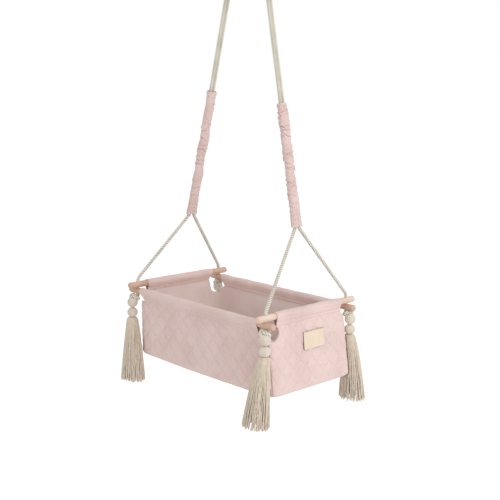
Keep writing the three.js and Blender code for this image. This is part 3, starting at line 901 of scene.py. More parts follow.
@dataclass(frozen=True)
class PhotographCamera:
    """The camera that took the photograph, as fitted to the basket's corners."""

    azimuth: float = 44.164
    pitch: float = 10.275
    roll: float = 1.651
    focal_pixels: float = 956.319
    frame_pixels: float = 500.0
    sensor_mm: float = 36.0
    place: tuple[float, float, float] = (2.62087, -2.64484, -0.95332)

    def build(self) -> None:
        """Makes the camera and gives it to the scene."""
        azimuth, pitch, roll = (math.radians(a) for a in (self.azimuth, self.pitch, self.roll))
        level = math.cos(pitch)
        back = Vector((math.sin(azimuth) * level, -math.cos(azimuth) * level, math.sin(pitch)))
        right = (-back).cross(Vector((0, 0, 1))).normalized()
        up = right.cross(-back)
        tilted = right * math.cos(roll) + up * math.sin(roll)
        raised = up * math.cos(roll) - right * math.sin(roll)
        lens = bpy.data.cameras.new("photograph_camera")
        lens.sensor_width = self.sensor_mm
        lens.lens = self.focal_pixels * self.sensor_mm / self.frame_pixels
        lens.clip_start, lens.clip_end = 0.05, 100.0
        camera = bpy.data.objects.new("photograph_camera", lens)
        axes = Matrix((tilted, raised, back)).transposed().to_4x4()
        camera.matrix_world = Matrix.Translation(Vector(self.place)) @ axes
        bpy.context.scene.collection.objects.link(camera)
        bpy.context.scene.camera = camera


@dataclass(frozen=True)
class Lamp:
    """One large soft lamp that points at the basket."""

    name: str
    place: tuple[float, float, float]
    size: float
    power: float


@dataclass(frozen=True)
class Studio:
    """A pale floor well below the basket, an even white surround and soft lamps."""

    floor_level: float = -2.95
    floor_size: float = 60.0
    aim: tuple[float, float, float] = (0.0, 0.0, -1.75)
    surround: float = 0.67
    floor_glow: float = 0.4
    lamps: tuple[Lamp, ...] = (
        Lamp("key_lamp", (4.2, -0.2, 0.3), 2.6, 80.0),
        Lamp("fill_lamp", (-1.2, -4.4, -0.2), 3.0, 20.0),
    )

    def build(self) -> None:
        """Makes the surround, the lamps and the floor."""
        view = bpy.context.scene.view_settings
        view.view_transform = "Standard"
        self._surround()
        for lamp in self.lamps:
            self._lamp(lamp)
        self._floor()

    def _surround(self) -> None:
        """White behind the object and softer white light from all round."""
        world = bpy.data.worlds.new("surround")
        world.use_nodes = True
        bpy.context.scene.world = world
        sketch = Sketch(world.node_tree)
        background = world.node_tree.nodes["Background"]
        background.inputs["Color"].default_value = (1.0, 1.0, 1.0, 1.0)
        path = sketch.node("ShaderNodeLightPath")
        shown = sketch.math("MAXIMUM", path.outputs["Is Camera Ray"], path.outputs["Is Glossy Ray"])
        shown = sketch.math("MAXIMUM", shown, path.outputs["Is Transmission Ray"])
        strength = sketch.math("MULTIPLY_ADD", shown, 1.0 - self.surround, self.surround)
        sketch.feed(background.inputs["Strength"], strength)

    def _lamp(self, lamp: Lamp) -> None:
        """Makes one lamp and turns it to the basket."""
        light = bpy.data.lights.new(lamp.name, "AREA")
        light.size = lamp.size
        light.energy = lamp.power
        made = bpy.data.objects.new(lamp.name, light)
        made.location = lamp.place
        made.rotation_mode = "QUATERNION"
        made.rotation_quaternion = (Vector(self.aim) - Vector(lamp.place)).to_track_quat("-Z", "Y")
        bpy.context.scene.collection.objects.link(made)

    def _floor(self) -> None:
        """A white floor that keeps the cradle's shadow and is clear from below."""
        material = bpy.data.materials.new("floor")
        material.use_nodes = True
        sketch = Sketch(material.node_tree)
        material.node_tree.nodes.remove(material.node_tree.nodes["Principled BSDF"])
        paint = sketch.node("ShaderNodeBsdfDiffuse")
        paint.inputs["Color"].default_value = (0.93, 0.93, 0.93, 1.0)
        glow = sketch.node("ShaderNodeEmission")
        clear = sketch.node("ShaderNodeBsdfTransparent")
        lifted = sketch.node("ShaderNodeAddShader")
        shown = sketch.node("ShaderNodeLightPath").outputs["Is Camera Ray"]
        sketch.feed(glow.inputs["Strength"], sketch.math("MULTIPLY", shown, self.floor_glow))
        sketch.feed(lifted.inputs[0], paint.outputs[0])
        sketch.feed(lifted.inputs[1], glow.outputs[0])
        sided = sketch.node("ShaderNodeMixShader")
        sketch.feed(sided.inputs[0], sketch.node("ShaderNodeNewGeometry").outputs["Backfacing"])
        sketch.feed(sided.inputs[1], lifted.outputs[0])
        sketch.feed(sided.inputs[2], clear.outputs[0])
        sketch.feed(material.node_tree.nodes["Material Output"].inputs["Surface"], sided.outputs[0])
        half = self.floor_size / 2
        corners = [(-half, -half, 0), (half, -half, 0), (half, half, 0), (-half, half, 0)]
        mesh = bpy.data.meshes.new("floor")
        mesh.from_pydata(corners, [], [(0, 1, 2, 3)])
        mesh.materials.append(material)
        floor = bpy.data.objects.new("floor", mesh)
        floor.location.z = self.floor_level
        bpy.context.scene.collection.objects.link(floor)


# Ropes


@dataclass(frozen=True)
class LaidRope:
    """Cotton rope laid from three strands."""

    diameter: float = 0.013
    strands: int = 3
    lay: float = 0.028
    ring_step: float = 0.0022
    sides: int = 24
    strand_share: float = 0.5
    fullness: float = 1.12

    def radii(self, path: np.ndarray) -> np.ndarray:
        """Distance from the rope's middle to its surface, following the strands round.

        Args:
            path: Points of the rope's middle, evenly spaced.

        Returns:
            Distances for each path point and each point round it.
        """
        outer = self.fullness * self.diameter / 2
        strand = outer * self.strand_share
        centre = outer - strand
        along = lengths_along(path)[:, None]
        angle = FULL_TURN * np.arange(self.sides)[None] / self.sides - FULL_TURN * along / self.lay
        sector = FULL_TURN / self.strands
        off = np.mod(angle + sector / 2, sector) - sector / 2
        return centre * np.cos(off) + np.sqrt(strand**2 - (centre * np.sin(off)) ** 2)

    def surface(self, path: np.ndarray, closed: bool = False) -> Surface:
        """Builds the rope's surface round an evenly spaced path."""
        made = Surface()
        rings = rings_along(path, self.radii(path), closed)
        if closed:
            made.add_grid(rings, wrap=True)
        else:
            made.add_tube(rings)
        return made


# Routes of the two front ropes from the knot to the hanging point, as in the CAD
RIGHT_ROUTE = (
    (0.36, -0.2275, -0.0506), (0.36, -0.2275, 0.0), (0.3598, -0.2268, 0.007),
    (0.3592, -0.2248, 0.0135), (0.3581, -0.2212, 0.0195), (0.3258, -0.1174, 0.1497),
    (0.2936, -0.0137, 0.2799), (0.2922, -0.0102, 0.2852), (0.2913, -0.0081, 0.2902),
    (0.2903, -0.007, 0.2955), (0.2891, -0.0068, 0.301), (0.197, -0.0068, 0.7277),
    (0.1049, -0.0068, 1.1543), (0.0128, -0.0068, 1.581), (0.0122, -0.0068, 1.587),
    (0.012, -0.0068, 1.593), (0.012, -0.0068, 1.648),
)
LEFT_ROUTE = (
    (-0.36, -0.2275, -0.0506), (-0.36, -0.2275, 0.0), (-0.3598, -0.2267, 0.007),
    (-0.359, -0.2244, 0.0136), (-0.3579, -0.2206, 0.0195), (-0.3259, -0.1175, 0.1401),
    (-0.2939, -0.0144, 0.2607), (-0.2924, -0.0107, 0.2661), (-0.2914, -0.0083, 0.2713),
    (-0.2903, -0.0071, 0.2766), (-0.2891, -0.0068, 0.282), (-0.197, -0.0068, 0.715),
    (-0.1049, -0.0068, 1.148), (-0.0128, -0.0068, 1.581), (-0.0122, -0.0068, 1.587),
    (-0.012, -0.0068, 1.593), (-0.012, -0.0068, 1.648),
)


@dataclass
class Ropes:
    """The four rope runs from the hanging point to the corner knots, and the two turns over the ring."""

    finish: bpy.types.Material
    rope: LaidRope = field(default_factory=LaidRope)
    ease: int = 6
    turn_radius: float = 0.012
    turn_side: float = 0.0068
    turn_centre: float = 1.66567
    turn_foot: float = 1.6483
    turn_steps: int = 40

    def build(self, knots: dict[str, bpy.types.Object]) -> None:
        """Args:
            knots: The stopper knots by corner name. Not used.
        """
        turns = {-1: self._turn("front", -self.turn_side), 1: self._turn("back", self.turn_side)}
        for corner in CORNERS:
            route = np.array(RIGHT_ROUTE if corner.x > 0 else LEFT_ROUTE)
            route[:, 1] *= -corner.y
            path = resampled(lowered(route)[::-1], self.rope.ring_step, self.ease)
            name = f"rope_{corner.name}"
            piece = self.rope.surface(path).build(f"laid_{name}", [self.finish])
            dress(piece, Body.CRADLE.value, [name])

    def _turn(self, side: str, y: float) -> bpy.types.Object:
        """Makes one turn of rope over the ring, which goes on from the right leg to the left one.

        Args:
            side: Front or back.
            y: Its place along Y.

        Returns:
            The turn.
        """
        radius, centre = self.turn_radius, self.turn_centre
        angles = np.linspace(0, math.pi, self.turn_steps)
        over = [(radius * math.cos(a), y, centre + radius * math.sin(a)) for a in angles]
        bend = [(radius, y, self.turn_foot), *over, (-radius, y, self.turn_foot)]
        path = resampled(lowered(bend), self.rope.ring_step / 2, 3)
        name = f"rope_turn_{side}"
        piece = self.rope.surface(path).build(f"laid_{name}", [self.finish])
        return dress(piece, Body.CRADLE.value, [name])


@dataclass
class Knots:
    """The stopper knots under the corners, each an overhand knot pulled tight over the upper ball."""

    finish: bpy.types.Material
    rope: LaidRope = field(default_factory=LaidRope)
    loop_share: float = 0.76
    swing_share: float = 0.2
    heart_shares: tuple[float, float, float] = (0.7, 0.6, 0.9)
    steps: int = 150

    def build(self) -> dict[str, bpy.types.Object]:
        """Makes the knots.

        Returns:
            The knots by corner name.
        """
        made = {}
        for corner in CORNERS:
            name = f"knot_{corner.name}"
            low, high = box_of(name)
            middle, half = (low + high) / 2, (high - low) / 2
            turn = np.linspace(0, FULL_TURN, self.steps)
            reach = half[0] - self.rope.diameter / 2
            out = reach * (self.loop_share + self.swing_share * np.cos(3 * turn))
            lift = (half[2] - self.rope.diameter / 2) * np.sin(3 * turn)
            loop = np.stack([out * np.cos(2 * turn), corner.y * out * np.sin(2 * turn), lift], axis=1)
            surface = self.rope.surface(middle + loop, closed=True)
            wide, shoulder, tip = reach * self.heart_shares[0], *(half[2] * s for s in self.heart_shares[1:])
            heart = [(0.0, -tip), (wide, -shoulder), (wide, shoulder), (0.0, tip)]
            surface.add_grid(turned_rings(heart, 16) + middle, wrap=True)
            piece = surface.build(f"stopper_{name}", [self.finish])
            made[corner.name] = dress(piece, Body.CRADLE.value, [name])
        return made


# Rods


def cut(piece: bpy.types.Object, cutters: Sequence[bpy.types.Object]) -> None:
    """Cuts solids out of a piece and removes them."""
    for cutter in cutters:
        step = piece.modifiers.new("cut", "BOOLEAN")
        step.object = cutter
        step.operation = "DIFFERENCE"
        step.solver = "EXACT"
    settle(piece)
    piece.data.set_sharp_from_angle(angle=math.radians(40.0))
    for cutter in cutters:
        bpy.data.objects.remove(cutter)


def settle(piece: bpy.types.Object) -> None:
    """Makes what a piece's modifiers show its own mesh and removes them."""
    graph = bpy.context.evaluated_depsgraph_get()
    shown = bpy.data.meshes.new_from_object(piece.evaluated_get(graph))
    piece.modifiers.clear()
    old = piece.data
    shown.name = old.name
    piece.data = shown
    bpy.data.meshes.remove(old)


@dataclass
class Rods:
    """The four round wooden rods, with their holes for the ropes."""

    finish: bpy.types.Material
    # The same wood made paler, as painted light
    painted_lit_finish: bpy.types.Material
    diameter: float = 0.025
    overhang: float = 0.0425
    rounding: float = 0.005
    hole_diameter: float = 0.0146
    half_long: float = 0.36
    half_across: float = 0.2275
    end_level: float = -0.0125
    side_level: float = -0.0378
    sides: int = 56
    rings: int = 60

    def build(self) -> None:
        """Makes the end rods along Y and the side rods along X."""
        for side, sign in (("left", -1), ("right", 1)):
            middle = (sign * self.half_long, 0.0, self.end_level)
            # The right end rod, nearest the key lamp, takes a paler copy of the wood as painted light
            finish = self.painted_lit_finish if sign > 0 else self.finish
            axes = np.array([[0, 0, 1], [1, 0, 0], [0, 1, 0]])
            self._rod(f"end_rod_{side}", self.half_across, axes, middle, finish)
        for side, sign in (("front", -1), ("back", 1)):
            middle = (0.0, sign * self.half_across, self.side_level)
            axes = np.array([[0, 1, 0], [0, 0, 1], [1, 0, 0]])
            self._rod(f"side_rod_{side}", self.half_long, axes, middle, self.finish)

    def _rod(
        self,
        name: str,
        hole_reach: float,
        axes: np.ndarray,
        middle: tuple[float, float, float],
        finish: bpy.types.Material,
    ) -> None:
        """Makes one rod.

        Args:
            name: Name of its CAD node.
            hole_reach: Distance from its middle to each hole.
            axes: The row's directions of the rod's own axes, one a row.
            middle: Its middle, with the height from the rod tops.
            finish: Its wood.
        """
        half = hole_reach + self.overhang
        radius = self.diameter / 2
        turn = np.linspace(0, QUARTER_TURN, 6)
        ease = self.rounding
        low = [(radius - ease * (1 - math.sin(t)), -half + ease * (1 - math.cos(t))) for t in turn]
        body = [(radius, h) for h in np.linspace(-half + ease, half - ease, self.rings)[1:-1]]
        high = [(r, -h) for r, h in reversed(low)]
        rings = turned_rings([*low, *body, *high], self.sides)
        place = lowered(middle)
        surface = Surface()
        surface.add_tube(rings @ axes + place)
        piece = surface.build(f"turned_{name}", [finish], sharp=60.0)
        hole_radius = self.hole_diameter / 2
        hole = turned_rings([(hole_radius, -self.diameter), (hole_radius, self.diameter)], 32)
        drills = []
        for sign in (-1, 1):
            drill = Surface()
            drill.add_tube(hole + place + sign * hole_reach * axes[2])
            drills.append(drill.build("drill", [finish]))
        cut(piece, drills)
        dress(piece, Body.CRADLE.value, [name])


# Basket


class Side(Enum):
    """The four walls, with how places along and outwards become X and Y."""

    FRONT = "front"
    RIGHT = "right"
    BACK = "back"
    LEFT = "left"

    def to_basket(self, along: np.ndarray, out: np.ndarray) -> tuple[np.ndarray, np.ndarray]:
        """Turns a place along the wall and outwards from the basket's middle into X and Y."""
        return {
            Side.FRONT: (along, -out),
            Side.RIGHT: (out, along),
            Side.BACK: (-along, out),
            Side.LEFT: (-out, -along),
        }[self]

    @property
    def is_end(self) -> bool:
        """True for the two short walls."""
        return self in (Side.RIGHT, Side.LEFT)


@dataclass(frozen=True)
class BasketShape:
    """The basket's outline, which changes evenly from the rods' underside to the bottom."""

    half_long: float = 0.36
    half_across: float = 0.2275
    rim_level: float = -0.0503
    drop: float = 0.296
    end_stand_off: float = 0.012
    side_stand_off: float = 0.0045
    right_flare: float = 0.034
    left_flare: float = 0.008
    side_taper: float = 0.009
    right_radii: tuple[float, float] = (0.048, 0.016)
    left_radii: tuple[float, float] = (0.060, 0.075)
    edge_radius: float = 0.014
    thickness: float = 0.012
    end_top: float = -0.0453
    side_top: float = -0.0706
    notch_level: float = -0.102
    small_notch_level: float = -0.080
    notch_bite: float = 0.019
    side_bulge: float = 0.010
    sag: float = 0.0105
    sag_level: float = -0.12
    sag_left_share: float = 0.35
    sag_corner_share: float = 0.45
    sag_corner_reach: float = 0.05
    sag_rim_reach: float = 0.09
    quilt_pitch: float = 0.066
    quilt_depth: float = 0.004

    def notch_of(self, side: Side, last: bool) -> tuple[float, float]:
        """Gives the notch at one end of a wall.

        Args:
            side: The wall.
            last: True at its last end.

        Returns:
            The height of the notch's floor, and how far its side edge bows in, less than zero for out.
        """
        bows = {
            (Side.RIGHT, False): self.notch_bite,
            (Side.RIGHT, True): -0.0225,
            (Side.BACK, True): -0.030,
            (Side.LEFT, False): -0.020,
            (Side.LEFT, True): self.notch_bite,
        }
        shallow = side is Side.FRONT and not last
        floor = self.small_notch_level if shallow else self.notch_level
        return floor, bows.get((side, last), -self.side_bulge)

    @property
    def edge_level(self) -> float:
        """Height at which the walls start to bend under."""
        return self.edge_radius - self.drop

    def top(self, side: Side) -> float:
        """Height of a wall's top edge under its hem."""
        return self.end_top if side.is_end else self.side_top

    def spans(self, side: Side, z: np.ndarray) -> tuple[np.ndarray, ...]:
        """Gives a wall's outline at some heights.

        Args:
            side: The wall.
            z: Heights from the rod tops.

        Returns:
            Where the wall starts and ends along itself, how far out it stands, and its two corner radii.
        """
        share = (self.rim_level - z) / (self.drop + self.rim_level)
        left = self.half_long + self.end_stand_off + self.left_flare * share
        right = self.half_long + self.end_stand_off + self.right_flare * share
        width = self.half_across + self.side_stand_off - self.side_taper * share
        left_radius = self.left_radii[0] + (self.left_radii[1] - self.left_radii[0]) * share
        right_radius = self.right_radii[0] + (self.right_radii[1] - self.right_radii[0]) * share
        return {
            Side.FRONT: (-left, right, width, left_radius, right_radius),
            Side.RIGHT: (-width, width, right, right_radius, right_radius),
            Side.BACK: (-right, left, width, right_radius, left_radius),
            Side.LEFT: (-width, width, left, left_radius, left_radius),
        }[side]

    def place(
        self,
        side: Side,
        step: np.ndarray,
        z: np.ndarray,
        level: np.ndarray,
        inset: np.ndarray,
        seam: float = 0.0,
    ) -> np.ndarray:
        """Gives places on a wall.

        Args:
            side: The wall.
            step: 0 to 1 round the first corner, 1 to 2 along the straight and 2 to 3 round the last corner.
            z: Height of the place.
            level: Height at which the outline is read.
            inset: Distance in from the outer face.
            seam: Distance that the wall's two ends keep from the next wall's.

        Returns:
            Places with the height from the rod tops.
        """
        low, high, out, low_radius, high_radius = self.spans(side, level)
        first = EIGHTH_TURN * (1 + step)
        last = EIGHTH_TURN * (4 - step)
        straight = (low + low_radius) + (high - high_radius - low - low_radius) * (step - 1)
        corners = [step < 1, step > 2]
        along = np.select(
            corners,
            [
                low + low_radius - (low_radius - inset) * np.cos(first),
                high - high_radius + (high_radius - inset) * np.cos(last),
            ],
            straight,
        )
        outward = np.select(
            corners,
            [
                out - low_radius + (low_radius - inset) * np.sin(first),
                out - high_radius + (high_radius - inset) * np.sin(last),
            ],
            out - inset,
        )
        shift = seam / math.sqrt(2)
        along = along + shift * ((step <= 0).astype(float) - (step >= 3))
        outward = outward + shift * ((step <= 0) | (step >= 3))
        x, y = side.to_basket(along, outward)
        return np.stack([x, y, np.broadcast_to(z, x.shape)], axis=-1)

    def sagged(self, places: np.ndarray) -> np.ndarray:
        """Lowers the basket's bottom edge, most along its right half and less at the very corners.

        Args:
            places: Places with the height from the rod tops.

        Returns:
            The lowered places.
        """
        x, y, z = np.moveaxis(places, -1, 0)
        low, high, side, _, _ = (float(value) for value in self.spans(Side.FRONT, np.asarray(-self.drop)))
        from_end, from_side = np.minimum(high - x, x - low), side - np.abs(y)
        left, corner = self.sag_left_share, self.sag_corner_share
        along = left + (1 - left) * smoothstep((x - low) / -low)
        down = smoothstep((self.sag_level - z) / (self.sag_level + self.drop))
        away = smoothstep(np.hypot(from_end, from_side) / self.sag_corner_reach)
        rim = 1 - smoothstep(np.minimum(from_end, from_side) / self.sag_rim_reach)
        lowering = self.sag * along * down * (corner + (1 - corner) * away) * rim
        return np.stack([x, y, z - lowering], axis=-1)

    def pushed_out(
        self, right: bool, x: np.ndarray, y: np.ndarray, z: np.ndarray, gap: float
    ) -> tuple[np.ndarray, np.ndarray]:
        """Moves places near a corner out of the basket.

        Args:
            right: True for the two right corners.
            x: Distances towards that end from the basket's middle.
            y: Distances towards that side from the basket's middle.
            z: Heights of the places.
            gap: Distance that they keep from the walls.

        Returns:
            The distances of the places that don't touch the basket.
        """
        low, high, width, low_radius, high_radius = self.spans(Side.FRONT, np.clip(z, self.edge_level, 0.0))
        end, radius = (high, high_radius) if right else (-low, low_radius)
        past_x, past_y = x - (end - radius), y - (width - radius)
        corner_x, corner_y = np.maximum(past_x, 0.0), np.maximum(past_y, 0.0)
        distance = np.maximum(np.hypot(corner_x, corner_y), 1e-6)
        wanted = radius + gap
        above_floor = z > -self.drop - self.sag - gap
        push = np.where(above_floor & (distance < wanted), wanted / distance, 1.0)
        round_x, round_y = end - radius + corner_x * push, width - radius + corner_y * push
        beyond = past_x > 0
        beside = np.where(above_floor, np.maximum(y, width + gap), y)
        return np.where(beyond, round_x, x), np.select([beyond & (past_y > 0), beyond], [round_y, y], beside)

    def flat_along(self, side: Side, step: np.ndarray, level: float) -> np.ndarray:
        """Distance along the outer face from the wall's middle, corners rolled out flat, at one height."""
        low, high, _, low_radius, high_radius = self.spans(side, np.asarray(level))
        first = low + low_radius - low_radius * EIGHTH_TURN * (1 - step)
        last = high - high_radius + high_radius * EIGHTH_TURN * (step - 2)
        straight = (low + low_radius) + (high - high_radius - low - low_radius) * (step - 1)
        return np.where(step < 1, first, np.where(step > 2, last, straight))


@dataclass
class WallGrid:
    """The flat grid of one wall or lining panel: corner steps, heights, and which cells are there."""

    shape: BasketShape
    side: Side
    cells: int = 6
    margin: float = 0.0
    bend_rows: int = 5
    bend_reach: float = 0.07
    round_reach: float = 0.035
    round_share: float = 0.35
    notch_start: float = 0.003
    floor_reach: float = 0.003

    def __post_init__(self) -> None:
        """Works out the columns, the rows and the notched cells."""
        shape, side = self.shape, self.side
        top, edge = shape.top(side), shape.edge_level
        middle = np.asarray((top + edge) / 2)
        low, high, _, low_radius, high_radius = shape.spans(side, middle)
        straight = float(high - low - low_radius - high_radius)
        straight_cells = 2 * max(1, round(straight / shape.quilt_pitch)) * self.cells
        cell = straight / straight_cells
        low_cells, high_cells = (
            max(3, round(float(radius) * EIGHTH_TURN / cell)) for radius in (low_radius, high_radius)
        )
        upright_cells = max(2, round(2 * (top - edge) / shape.quilt_pitch)) * self.cells
        self.steps = np.concatenate(
            [
                np.linspace(0, 1, low_cells, endpoint=False),
                np.linspace(1, 2, straight_cells, endpoint=False),
                np.linspace(2, 3, high_cells + 1),
            ]
        )
        self.column_index = np.arange(len(self.steps)) - low_cells
        heights = np.linspace(top - self.margin, edge, upright_cells + 1)
        self.step_grid, self.height_grid = np.meshgrid(self.steps, heights)
        self._notch(top, straight, float(low_radius), float(high_radius))

    def _edge_shift(self, z: np.ndarray, top: float, last: bool) -> np.ndarray:
        """How far the notch's side edge stands in from the wall's straight part, in metres.

        Args:
            z: Heights from the rod tops.
            top: Height of the wall's top.
            last: True at the wall's last end.

        Returns:
            Distances inwards, less than zero where the edge reaches into the corner.
        """
        floor, bow = self.shape.notch_of(self.side, last)
        share = np.clip((top - z) / (top - floor), 0, 1)
        start = self.notch_start if bow > 0 else 0.0
        profile = share**0.8 if self._is_wide(last) else 4 * share * (1 - share)
        return self.margin + start * (1 - share) + bow * profile

    def _is_wide(self, last: bool) -> bool:
        """True for a notch whose side edge leans out towards its floor and whose lower corner is round."""
        return self.shape.notch_of(self.side, last)[1] < -self.shape.side_bulge

    def _notch(self, top: float, straight: float, low_radius: float, high_radius: float) -> None:
        """Leaves out the cells of the two corner notches and bends the columns beside them to match."""
        step, z = self.step_grid, self.height_grid
        middle_step = (step[:-1, :-1] + step[1:, 1:]) / 2
        middle_z = (z[:-1, :-1] + z[1:, 1:]) / 2
        floors = [self.shape.notch_of(self.side, last)[0] - self.margin for last in (False, True)]
        first_notch = (middle_z > floors[0]) & (middle_step < 1)
        last_notch = (middle_z > floors[1]) & (middle_step > 2)
        self.kept = ~(first_notch | last_notch)
        used = np.zeros(step.shape, int)
        whole = np.zeros(step.shape, int)
        for rows in (slice(None, -1), slice(1, None)):
            for columns in (slice(None, -1), slice(1, None)):
                used[rows, columns] += self.kept
                whole[rows, columns] += 1
        self.cut_edge = (used > 0) & (used < whole)
        lift = np.zeros(z.shape)
        for last, radius in ((False, low_radius), (True, high_radius)):
            floor = floors[int(last)]
            corner_side = step >= 2 if last else step <= 1
            z[self.cut_edge & corner_side & (z <= floor + self.floor_reach)] = floor
            lift += self._rounding(floor, top, straight, last)
            arc = radius * EIGHTH_TURN
            away = (2 - step) if last else (step - 1)
            along = np.where(away < 0, away * arc, away * straight)
            moves = ((z >= floor) & (along >= -1e-9)) | self._is_wide(last)
            fade = np.where(along < 0, 1 + along / arc, 1 - smoothstep(along / self.bend_reach))
            fade = fade * (1 - smoothstep((floor - z) / self.bend_reach))
            moved = along + self._edge_shift(z, top, last) * fade
            away = np.where(moved >= 0, moved / straight, moved / arc)
            beside = moves & (along < straight / 2)
            step[beside] = ((2 - away) if last else (1 + away))[beside]
        z += lift

    def _rounding(self, floor: float, top: float, straight: float, last: bool) -> np.ndarray:
        """How far a wide notch's lower corner is raised to make it round, with the rows beside it.

        Args:
            floor: Height of the notch's floor.
            top: Height of the wall's top.
            straight: Length of the wall's straight part.
            last: True at the wall's last end.

        Returns:
            Heights for the grid's points.
        """
        z = self.height_grid
        away = (3 - self.step_grid) if last else self.step_grid
        bend = 1 - np.sqrt(1 - np.clip(away, 0, 1) ** 2)
        beside = 1 - smoothstep((away - 1) * straight / self.round_reach)
        below = 1 - smoothstep((floor - z) / self.round_reach)
        above = 1 - smoothstep((z - floor) / (top - floor))
        height = self.round_share * (top - floor) * self._is_wide(last)
        return height * bend * beside * np.where(z < floor, below, above)

    def quilting(self) -> tuple[np.ndarray, np.ndarray]:
        """How far each point lies between stitched channels.

        Returns:
            Shares from 0 on a channel to 1 halfway, for the two directions of channels.
        """
        i = self.column_index[None]
        j = np.arange(self.height_grid.shape[0])[:, None]
        period = 2 * self.cells
        rising = np.abs(np.sin(math.pi * (i + j) / period))
        falling = np.abs(np.sin(math.pi * (i - j) / period))
        return rising, falling

    def channel_splits(self) -> np.ndarray:
        """Which diagonal of each cell a stitched channel follows: 1 falling, 2 rising, 0 none."""
        i = self.column_index[None, :-1]
        j = np.arange(self.height_grid.shape[0] - 1)[:, None]
        period = 2 * self.cells
        return np.where((i - j) % period == 0, 1, np.where((i + 1 + j) % period == 0, 2, 0))


def shell_between(
    surface: Surface,
    outer: np.ndarray,
    inner: np.ndarray,
    kept: np.ndarray,
    flat: np.ndarray,
    split: Optional[np.ndarray] = None,
) -> tuple[int, int]:
    """Adds a closed shell between two grids, with cells left out.

    Args:
        surface: What it is added to.
        outer: The outer face's points.
        inner: The inner face's points.
        kept: True for each cell that is there.
        flat: Flat coordinates of the grid's points.
        split: For each cell 1 or 2 where its outer face is cut along one or the other diagonal, else 0.

    Returns:
        The index of the first outer and of the first inner point.
    """
    rows, columns = outer.shape[:2]
    first, second = surface.add_points(outer), surface.add_points(inner)
    i, j = np.nonzero(kept)
    above = i * columns + j
    corner = np.stack([above, above + 1, above + columns + 1, above + columns], axis=1)
    lie = flat.reshape(-1, 2)
    kind = np.zeros(len(corner), int) if split is None else split[i, j]
    for chosen, triangles in ((1, ((0, 1, 2), (0, 2, 3))), (2, ((0, 1, 3), (1, 2, 3)))):
        for triangle in triangles:
            faces = corner[kind == chosen][:, triangle]
            surface.add_faces(first + faces, lie[faces])
    whole = corner[kind == 0]
    surface.add_faces(first + whole, lie[whole])
    surface.add_faces(second + corner[:, ::-1], lie[corner[:, ::-1]])
    edges = np.concatenate([corner[:, [k, (k + 1) % 4]] for k in range(4)])
    keys = np.sort(edges, axis=1)
    keys = keys[:, 0] * rows * columns + keys[:, 1]
    _, index, uses = np.unique(keys, return_index=True, return_counts=True)
    rim = edges[index[uses == 1]]
    faces = np.stack([first + rim[:, 0], second + rim[:, 0], second + rim[:, 1], first + rim[:, 1]], axis=1)
    surface.add_faces(faces, lie[rim[:, [0, 0, 1, 1]]])
    return first, second


def places_of(mesh: bpy.types.Mesh) -> np.ndarray:
    """Places of a mesh's points."""
    return np.array([v.co for v in mesh.vertices], float)


def move_points(mesh: bpy.types.Mesh, places: np.ndarray) -> None:
    """Moves a mesh's points to new places."""
    mesh.vertices.foreach_set("co", places.astype(np.float32).ravel())
    mesh.update()


@dataclass(frozen=True)
class Stuffing:
    """How padded fabric is blown up by Blender's cloth, held along its stitching."""

    pressure: float = 400.0
    frames: int = 14
    cap: float = 0.005
    bending: float = 0.15
    tension: float = 5.0
    mass: float = 0.01

    def fill(self, piece: bpy.types.Object, held: np.ndarray) -> None:
        """Runs the cloth and applies its result.

        Args:
            piece: The closed mesh.
            held: Share of each point that stays where it is.
        """
        start = places_of(piece.data)
        if len(held) != len(start):
            raise ValueError(f"{piece.name}: {len(held)} shares for {len(start)} points")
        pins = piece.vertex_groups.new(name="held")
        for share in np.unique(held):
            pins.add([int(k) for k in np.nonzero(held == share)[0]], float(share), "REPLACE")
        cloth = piece.modifiers.new("stuffing", "CLOTH")
        setup = cloth.settings
        setup.quality = 4
        setup.mass = self.mass
        setup.tension_stiffness = setup.compression_stiffness = self.tension
        setup.bending_stiffness = self.bending
        setup.vertex_group_mass = "held"
        setup.pin_stiffness = 1.0
        setup.use_pressure = True
        setup.uniform_pressure_force = self.pressure
        setup.effector_weights.gravity = 0.0
        cloth.collision_settings.use_collision = False
        cloth.point_cache.frame_start, cloth.point_cache.frame_end = 1, self.frames
        scene = bpy.context.scene
        for frame in range(1, self.frames + 1):
            scene.frame_set(frame)
        shown = piece.evaluated_get(bpy.context.evaluated_depsgraph_get())
        moved = places_of(shown.data) - start
        piece.modifiers.clear()
        piece.vertex_groups.clear()
        scene.frame_set(1)
        reach = np.linalg.norm(moved, axis=1, keepdims=True)
        LOG.info("%s: cloth moved up to %.2f mm", piece.name, 1000 * float(reach.max()))
        moved *= np.tanh(reach / self.cap) * self.cap / np.maximum(reach, TINY)
        move_points(piece.data, start + moved)


def smoothed(piece: bpy.types.Object) -> None:
    """Subdivides a piece once, smoothly, and keeps the result."""
    step = piece.modifiers.new("smooth", "SUBSURF")
    step.levels = step.render_levels = 1
    settle(piece)
    piece.data.shade_smooth()


